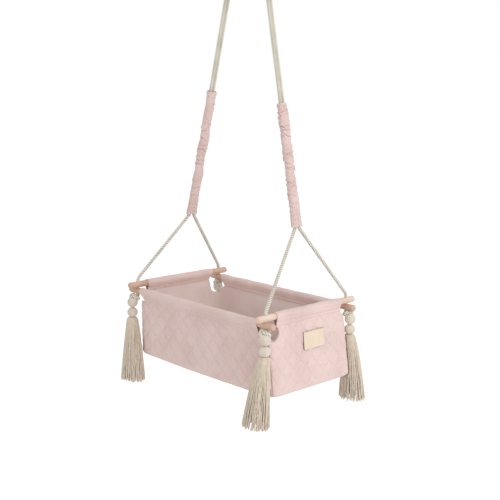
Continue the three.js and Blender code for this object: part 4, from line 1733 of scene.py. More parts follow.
@dataclass
class QuiltedWalls:
    """The four padded walls, stitched in diamonds and puffed between the stitching."""

    finish: bpy.types.Material
    shape: BasketShape = field(default_factory=BasketShape)
    stuffing: Stuffing = field(default_factory=Stuffing)
    seam: float = 0.00015
    fill: float = 0.55
    puff_power: float = 0.8
    unstuffed_share: float = 0.5
    channel_depth: float = 0.0012

    def build(self) -> None:
        """Makes the walls."""
        for side in Side:
            self._wall(side)

    def _wall(self, side: Side) -> None:
        """Makes one wall."""
        shape = self.shape
        grid = WallGrid(shape, side)
        rising, falling = grid.quilting()
        on_channel = rising * falling < 1e-3
        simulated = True
        puff = np.sqrt(rising * falling) ** self.puff_power
        depth = shape.quilt_depth * (1 - puff * (self.unstuffed_share if simulated else 1.0))
        step, z = grid.step_grid, grid.height_grid
        bend = QUARTER_TURN * np.arange(1, grid.bend_rows + 1)[:, None] / grid.bend_rows
        under = np.broadcast_to(grid.steps, (grid.bend_rows, len(grid.steps)))
        edge = np.full(under.shape, shape.edge_level)
        last_depth = depth[-1:] * np.linspace(1, 0, grid.bend_rows + 1)[1:, None]
        shells = []
        for radius, inset, last_inset in (
            (shape.edge_radius, depth, last_depth),
            (shape.edge_radius - shape.thickness, np.full(z.shape, shape.thickness), 0 * edge),
        ):
            down = edge - radius * np.sin(bend)
            inwards = shape.edge_radius - radius * np.cos(bend) + last_inset
            upright = shape.place(side, step, z, z, inset, self.seam)
            bent = shape.place(side, under, down, edge, inwards, self.seam)
            shells.append(lowered(shape.sagged(np.concatenate([upright, bent]))))
        kept = np.concatenate([grid.kept, np.ones((grid.bend_rows, grid.kept.shape[1]), bool)])
        along = shape.flat_along(side, step, (shape.top(side) + shape.edge_level) / 2)
        turned = shape.edge_radius * (1 + np.sin(bend) - np.cos(bend))
        flat_x = np.concatenate([along, along[-1:] + 0 * edge])
        flat_y = np.concatenate([z, edge - turned])
        split = np.zeros(kept.shape, int)
        split[: grid.kept.shape[0]] = grid.channel_splits()
        surface = Surface()
        first, _ = shell_between(surface, *shells, kept, np.stack([flat_x, flat_y], axis=-1), split)
        held = np.ones(surface.count)
        if simulated:
            stitched = on_channel | grid.cut_edge
            stitched[0] = stitched[:, 0] = stitched[:, -1] = True
            held[first : first + stitched.size] = stitched.ravel().astype(float)
        used = np.unique(np.concatenate([faces.ravel() for faces in surface.faces]))
        piece = surface.build(f"quilted_wall_{side.value}", [self.finish])
        if simulated:
            self.stuffing.fill(piece, held[used])
        channel = np.zeros(surface.count)
        lines = on_channel & ~grid.cut_edge
        lines[0] = lines[:, 0] = lines[:, -1] = False
        channel[first : first + lines.size] = lines.ravel()
        self._keep_edges(piece, shape.top(side) + ROD_TOP_LEVEL)
        mark = piece.data.attributes.new("channel", "FLOAT", "POINT")
        mark.data.foreach_set("value", channel[used].astype(np.float32))
        smoothed(piece)
        self._sink_channels(piece)
        dress(piece, Body.CRADLE.value, [f"wall_{side.value}"])

    @staticmethod
    def _keep_edges(piece: bpy.types.Object, top: float) -> None:
        """Creases the edges along a wall's top, so that it meets its hem."""
        mesh = piece.data
        height = places_of(mesh)[:, 2]
        pairs = np.array([e.vertices[:] for e in mesh.edges])
        crease = mesh.attributes.new("crease_edge", "FLOAT", "EDGE")
        close = 0.0004
        at_top = (np.abs(height[pairs] - top) < close).all(axis=1)
        crease.data.foreach_set("value", at_top.astype(np.float32))

    def _sink_channels(self, piece: bpy.types.Object) -> None:
        """Presses the stitched channels in, more sharply than the cloth's own grid shows them."""
        mesh = piece.data
        mark = mesh.attributes["channel"]
        share = np.zeros(len(mesh.vertices), np.float32)
        mark.data.foreach_get("value", share)
        away = np.array([v.normal for v in mesh.vertices], float)
        sunk = away * (self.channel_depth * np.clip(share, 0, 1) ** 2)[:, None]
        move_points(mesh, places_of(mesh) - sunk)
        mesh.attributes.remove(mark)


@dataclass
class Lining:
    """The plain lining that follows the walls inside."""

    finish: bpy.types.Material
    shape: BasketShape = field(default_factory=BasketShape)
    thickness: float = 0.0015
    gap: float = 0.0003
    lip: float = 0.002
    fold: float = 0.0042
    fold_size: float = 0.055
    fold_waves: int = 9
    fold_seed: int = 5
    fold_rise_share: float = 0.35
    highest_fold_share: float = 1.4
    calm_top_share: float = 0.15
    calm_foot_share: float = 0.12

    def build(self) -> None:
        """Makes the lining from its four panels, which meet at the corners."""
        shape = self.shape
        surface = Surface()
        for side in Side:
            grid = WallGrid(shape, side, cells=5, margin=self.lip)
            step, z = grid.step_grid, grid.height_grid
            along = shape.flat_along(side, step, (shape.top(side) + shape.edge_level) / 2)
            down = (z[0] - z) / (z[0] - z[-1])
            spot = shape.place(side, step, z, z, np.zeros(z.shape))
            drawn = spot * np.array([1.0, 1.0, self.fold_rise_share])
            folds = 0.5 + 0.5 * ripples(drawn, self.fold_waves, self.fold_size, self.fold_seed)
            calm = smoothstep(down / self.calm_top_share) * smoothstep((1 - down) / self.calm_foot_share)
            inward = self.fold * np.clip(folds, 0, self.highest_fold_share) * (calm * (~grid.cut_edge))
            front = shape.thickness + self.gap + inward
            outer = shape.place(side, step, z, z, front)
            inner = shape.place(side, step, z, z, front + self.thickness)
            faces = [lowered(shape.sagged(places)) for places in (outer, inner)]
            shell_between(surface, *faces, grid.kept, np.stack([along, z], axis=-1))
        piece = surface.build("plain_inner_lining", [self.finish])
        dress(piece, Body.CRADLE.value, ["inner_lining"])


def rounded_rows(
    low: float, high: float, half_across: float, radii: tuple[float, float], rows: int, columns: int
) -> np.ndarray:
    """Fills a rectangle with rounded corners with a grid.

    Args:
        low: Its first end along X.
        high: Its last end along X.
        half_across: Half its size along Y.
        radii: Corner radii at its first and last end.
        rows: Points along Y.
        columns: Points along X.

    Returns:
        Rows and columns of X and Y.
    """
    y = half_across * np.sin(np.linspace(-QUARTER_TURN, QUARTER_TURN, rows))
    ends = []
    for end, sign, radius in ((low, 1, radii[0]), (high, -1, radii[1])):
        past = np.clip(np.abs(y) - (half_across - radius), 0, radius)
        ends.append(end + sign * (radius - np.sqrt(radius**2 - past**2)))
    share = np.linspace(0, 1, columns)[None]
    x = ends[0][:, None] * (1 - share) + ends[1][:, None] * share
    return np.stack([x, np.broadcast_to(y[:, None], x.shape)], axis=-1)


def edge_of(grid: np.ndarray) -> np.ndarray:
    """Indices of a grid's edge points, in order round it."""
    rows, columns = grid.shape[:2]
    index = np.arange(rows * columns).reshape(rows, columns)
    return np.concatenate([index[0, :-1], index[:-1, -1], index[-1, :0:-1], index[:0:-1, 0]])


def offset_outwards(loop: np.ndarray, distance: float) -> np.ndarray:
    """Moves a closed flat loop outwards."""
    along = np.roll(loop, -1, axis=0) - np.roll(loop, 1, axis=0)
    along /= np.linalg.norm(along, axis=1, keepdims=True)
    return loop + distance * np.stack([along[:, 1], -along[:, 0]], axis=1)


@dataclass
class Slab:
    """A flat piece with an upper and a lower face on one grid, joined by rings round its edge."""

    grid: np.ndarray
    upper: np.ndarray
    lower: np.ndarray
    sides: Sequence[tuple[float, float]] = ()
    side_part: int = 0
    turned_map: bool = False

    def add_to(
        self, surface: Surface, place: Callable[[np.ndarray], np.ndarray] = lowered
    ) -> tuple[np.ndarray, np.ndarray]:
        """Adds the slab to a surface.

        Args:
            surface: What it is added to.
            place: Moves its points into the row frame.

        Returns:
            Indices of the points of the upper face and of the lower face.
        """
        flat = self.grid[..., ::-1] if self.turned_map else self.grid
        over, under = (
            surface.add_grid(place(np.concatenate([self.grid, level[..., None]], axis=-1)), flat=flat)
            for level in (self.upper, self.lower)
        )
        index = np.arange(self.grid.shape[0] * self.grid.shape[1])
        edge = edge_of(self.grid)
        loop = self.grid.reshape(-1, 2)[edge]
        length = lengths_along(np.concatenate([loop, loop[:1]]))
        rings, heights = [over + edge], [float(self.upper.reshape(-1)[edge].mean())]
        for out, height in self.sides:
            ring = np.concatenate([offset_outwards(loop, out), np.full((len(loop), 1), height)], axis=1)
            rings.append(surface.add_points(place(ring)) + np.arange(len(loop)))
            heights.append(height)
        rings.append(under + edge)
        heights.append(float(self.lower.reshape(-1)[edge].mean()))
        u = np.stack([length[:-1], length[1:], length[1:], length[:-1]], axis=1)
        for k in range(len(rings) - 1):
            v = np.broadcast_to([heights[k], heights[k], heights[k + 1], heights[k + 1]], u.shape)
            surface.add_band(rings[k], rings[k + 1], np.stack([u, v], axis=-1), self.side_part)
        return over + index, under + index


def add_stitches(
    surface: Surface, path: np.ndarray, under: np.ndarray, length: float = 0.0042, gap: float = 0.0026
) -> None:
    """Sews a row of stitches along a path.

    Args:
        surface: What they are added to.
        path: Points of the row.
        under: A point below the cloth's face for each of them.
        length: Length of a stitch.
        gap: Distance between stitches.
    """
    thick, lift, points, sides = 0.0004, 0.0003, 5, 6
    out = path - under
    out /= np.linalg.norm(out, axis=1, keepdims=True)
    steps = lengths_along(path)
    arch = (lift * np.sin(np.linspace(0, math.pi, points)) - lift / 3)[:, None]
    for start in np.arange(gap, steps[-1] - length, length + gap):
        spots = start + length * np.linspace(0, 1, points)
        middle = read_between(spots, steps, path) + read_between(spots, steps, out) * arch
        surface.add_tube(rings_along(middle, np.full((points, sides), thick)))


@dataclass
class HemTunnels:
    """The four plain fabric tunnels, sewn round the rods and closed by a row of stitches below them."""

    finish: bpy.types.Material
    shape: BasketShape = field(default_factory=BasketShape)
    radius: float = 0.0155
    cloth: float = 0.0022
    drop: float = 0.0325
    half_end: float = 0.181
    half_side: float = 0.330
    end_level: float = -0.0125
    side_level: float = -0.0378
    pinch: float = 0.0016
    pinch_height: float = -0.0215
    pinch_size: float = 0.0042
    slant_power: float = 0.8
    crumple: float = 0.0007
    crumple_size: float = 0.045
    gather: float = 0.0008
    gather_size: float = 0.011
    gather_reach: float = 0.009
    calm_foot: float = 0.006
    inner_lift: float = 0.0003
    first_seed: int = 21
    around: int = 84
    step: float = 0.0035

    def build(self) -> None:
        """Makes the hems."""
        for side in Side:
            self._hem(side)

    def _section(self, side: Side) -> np.ndarray:
        """The outside of a hem's section, as outward distance and height from the rod's middle."""
        outer = self.shape.end_stand_off if side.is_end else self.shape.side_stand_off
        inner = outer - self.shape.thickness
        angles = []
        for reach, sign in ((outer, 1), (inner, -1)):
            distance = math.hypot(reach, self.drop)
            angles.append(math.atan2(-self.drop, reach) + sign * math.acos(self.radius / distance))
        arc = np.linspace(angles[0], angles[1] + FULL_TURN, 60)
        bend = self.radius * np.stack([np.cos(arc), np.sin(arc)], axis=1)
        foot = [[inner, -self.drop], [outer, -self.drop]]
        loop = np.concatenate([bend, foot, bend[:1]])
        lengths = lengths_along(loop)
        wanted = np.linspace(0, lengths[-1], self.around, endpoint=False)
        spaced = read_between(wanted, lengths, loop)
        middle = (outer + inner) / 2
        squeeze = self.pinch * bell((spaced[:, 1] - self.pinch_height) / self.pinch_size)
        spaced[:, 0] -= np.sign(spaced[:, 0] - middle) * squeeze * (spaced[:, 1] < -self.radius / 2)
        return spaced

    def _lift(self, side: Side, spot: np.ndarray, height: np.ndarray) -> tuple[np.ndarray, np.ndarray]:
        """How far the cloth stands out of its smooth section.

        Args:
            side: The wall.
            spot: Places along the rod and round it.
            height: Heights from the rod's middle.

        Returns:
            The lift of the outer face and of the inner face.
        """
        near_seam = bell((height - self.pinch_height) / self.gather_reach)
        seed = self.first_seed + list(Side).index(side)
        soft = ripples(spot, 9, self.crumple_size, seed)
        gathers = ripples(spot * np.array([1.0, 0.3]), 12, self.gather_size, seed + 10)
        lift = self.crumple * soft + self.gather * gathers * near_seam
        lift *= smoothstep((height + self.drop) / self.calm_foot)
        return lift, np.minimum(lift, self.inner_lift) * near_seam

    def _hem(self, side: Side) -> None:
        """Makes one hem."""
        half = self.half_end if side.is_end else self.half_side
        reach = self.shape.half_long if side.is_end else self.shape.half_across
        level = self.end_level if side.is_end else self.side_level
        section = self._section(side)
        inner = offset_outwards(section, -self.cloth)
        outward = offset_outwards(section, 1.0) - section
        along = np.linspace(-half, half, round(2 * half / self.step) + 1)
        low, high, _, low_radius, high_radius = self.shape.spans(side, np.asarray(self.shape.top(side)))
        cuts = [max(0.0, float(low + low_radius) + half), max(0.0, half - float(high - high_radius))]
        below = np.clip(-section[None, :, 1] / self.drop, 0, 1) ** self.slant_power
        place = (along[:, None] + half) / (2 * half)
        slanted = -half + cuts[0] * below + (2 * half - (cuts[0] + cuts[1]) * below) * place
        girth = lengths_along(section)
        height = np.broadcast_to(section[None, :, 1], (len(along), len(section)))
        spot = np.stack(np.broadcast_arrays(along[:, None], girth[None] * 0.6), axis=-1)
        rings = []
        for points, lift in zip((section, inner), self._lift(side, spot, height)):
            lifted = points[None] + outward[None] * lift[..., None]
            x, y = side.to_basket(slanted, reach + lifted[..., 0])
            rings.append(lowered(np.stack([x, y, level + lifted[..., 1]], axis=-1)))
        surface = Surface()
        flat = np.stack(np.meshgrid(np.append(girth, girth[-1] + (girth[1] - girth[0])), along), axis=-1)
        first, second = (surface.add_grid(places, wrap=True, flat=flat) for places in rings)
        around = np.arange(self.around)
        across = np.array([0.0, 0.0, self.cloth, self.cloth])
        corners = np.stack(np.broadcast_arrays(girth[:, None], across[None]), axis=-1)
        for row in (0, len(along) - 1):
            start = row * self.around + around
            surface.add_band(first + start, second + start, corners)
        candidates = np.nonzero(section[:, 0] > (section[:, 0].max() + section[:, 0].min()) / 2)[0]
        seam = int(candidates[np.argmin(np.abs(section[candidates, 1] - self.pinch_height))])
        add_stitches(surface, rings[0][:, seam], rings[1][:, seam])
        piece = surface.build(f"sewn_hem_{side.value}", [self.finish])
        dress(piece, Body.CRADLE.value, [f"hem_{side.value}"])


@dataclass
class Bottom:
    """The padded bottom panel, the base board on it and the mattress on the board."""

    quilted: bpy.types.Material
    board: bpy.types.Material
    cover: bpy.types.Material
    shape: BasketShape = field(default_factory=BasketShape)
    stuffing: Stuffing = Stuffing(pressure=3.0, cap=0.004, bending=0.8, tension=12.0, mass=0.2)
    panel_inset: float = 0.0143
    panel_levels: tuple[float, float] = (-0.296, -0.284)
    board_inset: float = 0.0168
    board_levels: tuple[float, float] = (-0.2837, -0.2797)
    board_ease: float = 0.0006
    mattress_inset: float = 0.0238
    mattress_levels: tuple[float, float] = (-0.2794, -0.2404)
    unstuffed_share: float = 0.55
    flatness: int = 6
    edge_bulge: float = 0.0016
    crown: float = 0.005
    piping: float = 0.0024

    def build(self) -> None:
        """Makes the three layers."""
        self._panel()
        self._board()
        self._mattress()

    def _rows(self, inset: float, rows: int, columns: int) -> np.ndarray:
        """Grid inside the outline where the walls bend under, at a distance in from it."""
        level = np.asarray(self.shape.edge_level)
        low, high, across, low_radius, high_radius = (float(v) for v in self.shape.spans(Side.FRONT, level))
        radii = (max(low_radius - inset, 0.001), max(high_radius - inset, 0.001))
        return rounded_rows(low + inset, high - inset, across - inset, radii, rows, columns)

    def _panel(self) -> None:
        """Makes the quilted bottom panel, puffed downwards."""
        grid = self._rows(self.panel_inset, 72, 140)
        pitch = self.shape.quilt_pitch
        rising = np.abs(np.sin(math.pi * (grid[..., 0] + grid[..., 1]) / pitch))
        falling = np.abs(np.sin(math.pi * (grid[..., 0] - grid[..., 1]) / pitch))
        low, high = self.panel_levels
        hollow = self.shape.quilt_depth * (1 - np.sqrt(rising * falling))
        surface = Surface()
        rim = [(0, high - 0.002), (0, low + 0.005)]
        slab = Slab(grid, np.full(hollow.shape, high), low + hollow, rim)
        slab.add_to(surface, lambda places: lowered(self.shape.sagged(places)))
        piece = surface.build("quilted_bottom_panel", [self.quilted])
        dress(piece, Body.CRADLE.value, ["bottom_panel"])

    def _board(self) -> None:
        """Makes the thin wooden board, its edges eased."""
        ease = self.board_ease
        grid = self._rows(self.board_inset + ease, 40, 60)
        low, high = self.board_levels
        plain = np.zeros(grid.shape[:2])
        sides = [(ease, high - ease), (ease, low + ease)]
        surface = Surface()
        Slab(grid, plain + high, plain + low, sides, turned_map=True).add_to(surface)
        piece = surface.build("plain_base_board", [self.board])
        dress(piece, Body.CRADLE.value, ["base_board"])

    def _mattress(self) -> None:
        """Makes the mattress, stuffed, with piping round both edges."""
        grid = self._rows(self.mattress_inset + 0.001, 52, 90)
        low, high = self.mattress_levels
        reach = np.abs(grid).max(axis=(0, 1))
        fall = (1 - (np.abs(grid) / reach) ** self.flatness).prod(axis=-1)
        rise = np.sqrt(np.clip(fall, 0, 1))
        seam_high, seam_low = high - self.crown - 0.002, low + 0.0035
        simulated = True
        upper = seam_high + (high - seam_high) * rise * (self.unstuffed_share if simulated else 1.0)
        lower = seam_low + (low - seam_low) * rise
        sides = [
            (self.edge_bulge * math.sin(math.pi * k / 5), seam_high + (seam_low - seam_high) * k / 5)
            for k in range(1, 5)
        ]
        surface = Surface()
        upper_points, lower_points = Slab(grid, upper, lower, sides).add_to(surface)
        held = np.zeros(surface.count)
        held[lower_points] = 1.0
        edge = edge_of(grid)
        held[upper_points[edge]] = 1.0
        piece = surface.build("stuffed_mattress", [self.cover])
        if simulated:
            self.stuffing.fill(piece, held)
        smoothed(piece)
        loop = grid.reshape(-1, 2)[edge]
        cords = Surface()
        for height in (seam_high, seam_low + 0.001):
            ring = np.concatenate([offset_outwards(loop, 0.001), np.full((len(loop), 1), height)], axis=1)
            path = resampled(lowered(np.concatenate([ring, ring[:1]])), 0.006, 2)
            cords.add_grid(rings_along(path, np.full((len(path), 8), self.piping), closed=True), wrap=True)
        trim = cords.build("mattress_piping", [self.cover])
        dress(piece, Body.CRADLE.value, ["mattress"])
        dress(trim, Body.CRADLE.value)


@dataclass
class Tag:
    """The bare thin wooden tag on the right end wall, its edges browned by the cutting."""

    face: bpy.types.Material
    edge: bpy.types.Material
    length: float = 0.118
    height: float = 0.067
    thickness: float = 0.0025
    corner: float = 0.005
    rounding: float = 0.0004

    def build(self) -> None:
        """Makes the tag, leaning with the wall."""
        shape = BasketShape()
        middle = sum(box_of("blank_tag")) / 2
        lean = math.atan2(shape.right_flare, shape.drop + shape.rim_level)
        sine, cosine = math.sin(lean), math.cos(lean)
        axes = np.array([[0, 1, 0], [-sine, 0, cosine], [cosine, 0, sine]])
        half = self.length / 2 - self.rounding
        across = self.height / 2 - self.rounding
        grid = rounded_rows(-half, half, across, (self.corner, self.corner), 32, 24)
        face = self.thickness / 2
        plain = np.zeros(grid.shape[:2])
        sides = [(self.rounding, face - self.rounding), (self.rounding, self.rounding - face)]
        surface = Surface()
        slab = Slab(grid, plain + face, plain - face, sides, side_part=1)
        slab.add_to(surface, lambda places: places @ axes + middle)
        piece = surface.build("bare_wooden_tag", [self.face, self.edge])
        dress(piece, Body.CRADLE.value, ["blank_tag"])


# Tassels


# How far each skirt's foot leans along the cradle and outwards from it
SKIRT_LEANS = {
    "front_right": (-0.012, 0.0225),
    "front_left": (-0.0145, 0.006),
    "back_left": (0.0, 0.006),
    "back_right": (0.013, 0.0175),
}


@dataclass
class Tassels:
    """The four tassels: two wound yarn balls and a skirt of strands under each corner knot."""

    ball_finish: bpy.types.Material
    yarn_finish: bpy.types.Material
    shape: BasketShape = field(default_factory=BasketShape)
    ridges: int = 38
    ridge_height: float = 0.0005
    ball_fullness: float = 1.07
    ball_roundness: float = 0.86
    yarn_fuzz: float = 0.0002
    yarn_slant: float = 0.25
    yarn_sway: float = 0.05
    unevenness: float = 0.35
    reach_x: float = 0.3742
    reach_y: float = 0.2417
    skirt_top: float = -0.149
    skirt_length: float = 0.258
    shoulder: float = 0.009
    top_size: tuple[float, float] = (0.047, 0.043)
    foot_size: tuple[float, float] = (0.117, 0.092)
    spread_power: float = 0.8
    lean_power: float = 0.7
    wall_gap: float = 0.0025
    layers: tuple[tuple[float, int], ...] = ((0.95, 92), (0.84, 72), (0.72, 52))
    core_share: float = 0.6
    core_clearance: float = 0.02
    strand_spread: tuple[float, float] = (-0.008, 0.004)
    strand_jitter: float = 0.35
    strand_sway: float = 0.07
    strand_wave: float = 0.045
    strand_radii: tuple[float, float] = (0.00125, 0.00185)
    tip_share: float = 0.7

    def build(self) -> None:
        """Makes the tassels."""
        for number, corner in enumerate(CORNERS):
            self._ball(corner, "upper", 2 * number)
            self._ball(corner, "lower", 2 * number + 1)
            self._skirt(corner, number)

    def _ball(self, corner: Corner, part: str, seed: int) -> None:
        """Makes one ball of wound yarn, flat where the piece above it sits.

        The upper ball is evenly round, since the lower one swings about its middle.
        """
        node = f"{part}_ball_{corner.name}"
        low, high = box_of(node)
        radius = (high[0] - low[0]) / 2
        middle = np.array([(low[0] + high[0]) / 2, (low[1] + high[1]) / 2, low[2] + radius])
        rng = np.random.default_rng(seed)
        sides = self.ridges * 8
        angle = FULL_TURN * np.arange(sides) / sides
        cut_angle = math.acos(min(1.0, (high[2] - middle[2]) / radius))
        pole, rings = 0.02, 44
        polar = np.linspace(max(cut_angle, pole), math.pi - pole, rings)[:, None]
        sway = self.yarn_sway * np.sin(2 * polar + rng.uniform(0, FULL_TURN))
        sway += self.yarn_slant * np.cos(polar)
        ridge = np.sqrt(np.abs(np.sin(self.ridges * (angle[None] + sway) / 2)))
        uneven = 1 + self.unevenness * np.sin(5 * angle[None] + rng.uniform(0, FULL_TURN))
        depth = self.ridge_height * 2 * uneven * (1 - ridge) * np.sqrt(np.sin(polar))
        reach = radius + self.yarn_fuzz - depth
        fullness, roundness = (1.0, 1.0) if part == "upper" else (self.ball_fullness, self.ball_roundness)
        full = fullness * np.sin(polar) ** roundness
        x, y = reach * full * np.cos(angle), reach * full * np.sin(angle)
        z = np.broadcast_to(radius * np.cos(polar), x.shape)
        surface = Surface()
        surface.add_tube(middle + np.stack([x, y, z], axis=-1))
        piece = surface.build(f"wound_{node}", [self.ball_finish], sharp=70.0)
        dress(piece, f"tassel_{corner.name}_{part}", [node])

    def _spots(self, corner: Corner, depth: np.ndarray, angle: np.ndarray, share: float) -> np.ndarray:
        """Gives places in a skirt.

        Args:
            corner: The skirt's corner.
            depth: Depths below the skirt's top.
            angle: Angles round the skirt.
            share: Share of the skirt's half sizes.

        Returns:
            The places, in the row frame.
        """
        down = np.clip((depth - self.shoulder) / (self.skirt_length - self.shoulder), 0, 1.1)
        spread = down**self.spread_power
        neck = np.sqrt(1 - 0.75 * (1 - np.minimum(depth / self.shoulder, 1)) ** 2)
        wide = (self.top_size[0] + (self.foot_size[0] - self.top_size[0]) * spread) / 2 * neck
        deep = (self.top_size[1] + (self.foot_size[1] - self.top_size[1]) * spread) / 2 * neck
        z = self.skirt_top - depth
        lean_along, lean_out = SKIRT_LEANS[corner.name]
        leaning = down**self.lean_power
        out = self.reach_y + lean_out * leaning + share * deep * np.sin(angle)
        reach = self.reach_x + lean_along * leaning + corner.x * share * wide * np.cos(angle)
        x, y = self.shape.pushed_out(corner.x > 0, reach, out, z, self.wall_gap)
        return lowered(np.stack([corner.x * x, corner.y * y, z], axis=-1))

    def _skirt(self, corner: Corner, seed: int) -> None:
        """Makes one skirt: a soft core and layers of strands of uneven length."""
        rng = np.random.default_rng(100 + seed)
        surface = Surface()
        sides = 36
        around = FULL_TURN * np.arange(sides) / sides
        levels = np.linspace(0.0005, self.skirt_length - self.core_clearance, 14)
        core = [self._spots(corner, np.full(sides, level), around, self.core_share) for level in levels]
        surface.add_tube(np.stack(core))
        share_down = np.concatenate([[0.0, 0.012, 0.03], np.linspace(0.07, 1, 13)])
        thin, full = self.strand_radii
        for layer, count in self.layers:
            for k in range(count):
                length = self.skirt_length + rng.uniform(*self.strand_spread)
                angle = FULL_TURN * (k + rng.uniform(-self.strand_jitter, self.strand_jitter)) / count
                sway = rng.normal(0, self.strand_sway) * share_down
                wave = np.sin(share_down * rng.uniform(7, 13) + rng.uniform(0, FULL_TURN))
                sway += self.strand_wave * share_down * wave
                path = self._spots(corner, share_down * length, angle + sway, layer)
                thick = (thin + (full - thin) * share_down) * rng.uniform(0.8, 1.2)
                thick[-1] *= self.tip_share
                surface.add_tube(rings_along(path, np.broadcast_to(thick[:, None], (len(thick), 6))))
        piece = surface.build(f"strands_{corner.name}", [self.yarn_finish], sharp=80.0)
        dress(piece, f"tassel_{corner.name}_lower", [f"tassel_skirt_{corner.name}"])


# Sleeves, lashings and wrap


@dataclass(frozen=True)
class RopePair:
    """Where one pair of ropes runs side by side, from the point of the V to the hanging point."""

    name: str
    foot: tuple[float, float, float]
    length: float
    folds: int
    seed: int
    head: tuple[float, float, float] = (0.0, 0.0, 1.64)

    def placed(self, local: np.ndarray) -> np.ndarray:
        """Moves points from the pair's own frame, whose Z runs up the ropes, into the row frame."""
        up = np.array(self.head) - np.array(self.foot)
        up /= np.linalg.norm(up)
        across = np.array([0.0, 1.0, 0.0])
        axes = np.stack([np.cross(across, up), across, up])
        return lowered(local @ axes + np.array(self.foot))


PAIRS = (
    RopePair("left", (-0.2915, 0.0, 0.270), 0.510, 26, 3),
    RopePair("right", (0.2915, 0.0, 0.289), 0.457, 66, 8),
)


@dataclass
class RopeSleeves:
    """The gathered fabric sleeve on each rope pair, full of short creases, its lower end spread by the V."""

    finish: bpy.types.Material
    half_along: float = 0.0175
    half_across: float = 0.0205
    rise: float = 0.004
    cloth: float = 0.0014
    longer: float = 1.35
    around: int = 96
    step: float = 0.0017
    flare: float = 0.007
    flare_length: float = 0.022
    calm_end: float = 0.125
    calm_share: float = 0.3
    pleat: float = 0.0006
    pleats: int = 17
    crease_widths: tuple[float, float] = (0.6, 1.9)
    crease_reaches: tuple[float, float] = (0.003, 0.008)
    crease_depths: tuple[float, float] = (0.0012, 0.0034)
    crease_lean: float = 0.005
    crease_bow: float = 0.004
    fold_share: float = 0.8
    valley_share: float = 0.6
    swell: float = 0.0018
    swell_size: float = 0.035
    lift_bounds: tuple[float, float] = (-0.0036, 0.0032)
    foot_drop: float = 0.004
    foot_squeeze: float = 0.003
    foot_wave: float = 0.0018
    foot_wave_length: float = 0.012
    slack: tuple[float, float] = (0.0015, 0.001)
    squareness: float = 0.9
    stitch_rises: tuple[float, float] = (0.006, 0.008)
    stitch_sizes: tuple[float, float] = (0.0035, 0.0022)

    def build(self) -> None:
        """Makes the two sleeves."""
        for pair in PAIRS:
            self._sleeve(pair)

    def _lift(self, pair: RopePair, along: np.ndarray, angle: np.ndarray) -> np.ndarray:
        """How far the cloth stands out of a smooth tube, over its creases and swellings.

        Args:
            pair: The rope pair.
            along: Distances up the sleeve, one a row.
            angle: Angles round it, one a column.

        Returns:
            The lift, in metres.
        """
        rng = np.random.default_rng(pair.seed)
        lift = np.zeros((along.size, angle.size))
        for _ in range(pair.folds * 2):
            centre, side = rng.uniform(0, pair.length), rng.uniform(0, FULL_TURN)
            width, reach = rng.uniform(*self.crease_widths), rng.uniform(*self.crease_reaches)
            turn = np.mod(angle - side + math.pi, FULL_TURN) - math.pi
            lean, bow = rng.normal(0, self.crease_lean), rng.normal(0, self.crease_bow)
            away = (along - centre - lean * turn - bow * turn**2) / reach
            amount = rng.uniform(*self.crease_depths) * np.exp(-((turn / width) ** 4))
            lift += amount * (self.fold_share * bell(away - 1.0) - bell(away / self.valley_share))
        girth = 0.02
        around = np.broadcast_arrays(along, girth * np.cos(angle), girth * np.sin(angle))
        lift += self.swell * ripples(np.stack(around, axis=-1), 8, self.swell_size, pair.seed)
        creased = smoothstep((along - self.calm_end / 3) / (self.calm_end * 2 / 3))
        lift = np.clip(lift, *self.lift_bounds) * (self.calm_share + (1 - self.calm_share) * creased)
        lift += self.pleat * (1 - creased) * np.sin(self.pleats * angle + 1.5 * np.sin(3 * angle))
        return lift * smoothstep((along + 0.008) / 0.02) * smoothstep((pair.length - along) / 0.012 + 0.25)

    def _sleeve(self, pair: RopePair) -> None:
        """Makes one sleeve."""
        rows = round(pair.length / self.step)
        along = np.linspace(-self.foot_drop, pair.length, rows)[:, None]
        angle = (FULL_TURN * np.arange(self.around) / self.around)[None]
        lift = self._lift(pair, along, angle)
        open_end = np.exp(-np.clip(along, 0, None) / self.flare_length)
        half_x = self.half_along - self.slack[0] + lift - self.foot_squeeze * open_end
        half_y = self.half_across - self.slack[1] + lift + self.flare * open_end
        fading = np.exp(-(along + self.foot_drop) / self.foot_wave_length)
        z = self.rise + along + self.foot_wave * np.sin(3 * angle + pair.seed) * fading
        rings = []
        for inset in (0.0, self.cloth):
            x, y = (
                (half - inset) * np.sign(way) * np.abs(way) ** self.squareness
                for half, way in ((half_x, np.cos(angle)), (half_y, np.sin(angle)))
            )
            rings.append(pair.placed(np.stack([x, y, z], axis=-1)))
        surface = Surface()
        flat = natural_map(rings[0], True)
        first, second = (surface.add_grid(places, wrap=True, flat=flat) for places in rings)
        for row in (0, rows - 1):
            start = row * self.around + np.arange(self.around)
            corners = np.broadcast_to(flat[row, :1, None], (self.around, 4, 2))
            surface.add_band(first + start, second + start, corners)
        for height in (self.stitch_rises[0], pair.length - self.stitch_rises[1]):
            ring = int(np.argmin(np.abs(along[:, 0] - height)))
            add_stitches(surface, rings[0][ring], rings[1][ring], *self.stitch_sizes)
        piece = surface.build(f"gathered_sleeve_{pair.name}", [self.finish], sharp=80.0)
        dress(piece, f"sleeve_{pair.name}", [f"rope_sleeve_{pair.name}"])


def rounded_loop(half_x: float, half_y: float, radius: float) -> np.ndarray:
    """Evenly spaced points round four circles at the corners of a rectangle, closed by its first point."""
    steps = 96
    loop = []
    for quarter, (x, y) in enumerate(((1, 1), (-1, 1), (-1, -1), (1, -1))):
        for angle in np.linspace(0, QUARTER_TURN, steps // 4) + quarter * QUARTER_TURN:
            loop.append((x * half_x + radius * math.cos(angle), y * half_y + radius * math.sin(angle), 0.0))
    path = np.array([*loop, loop[0]])
    return resampled(path, length_of(path) / steps)


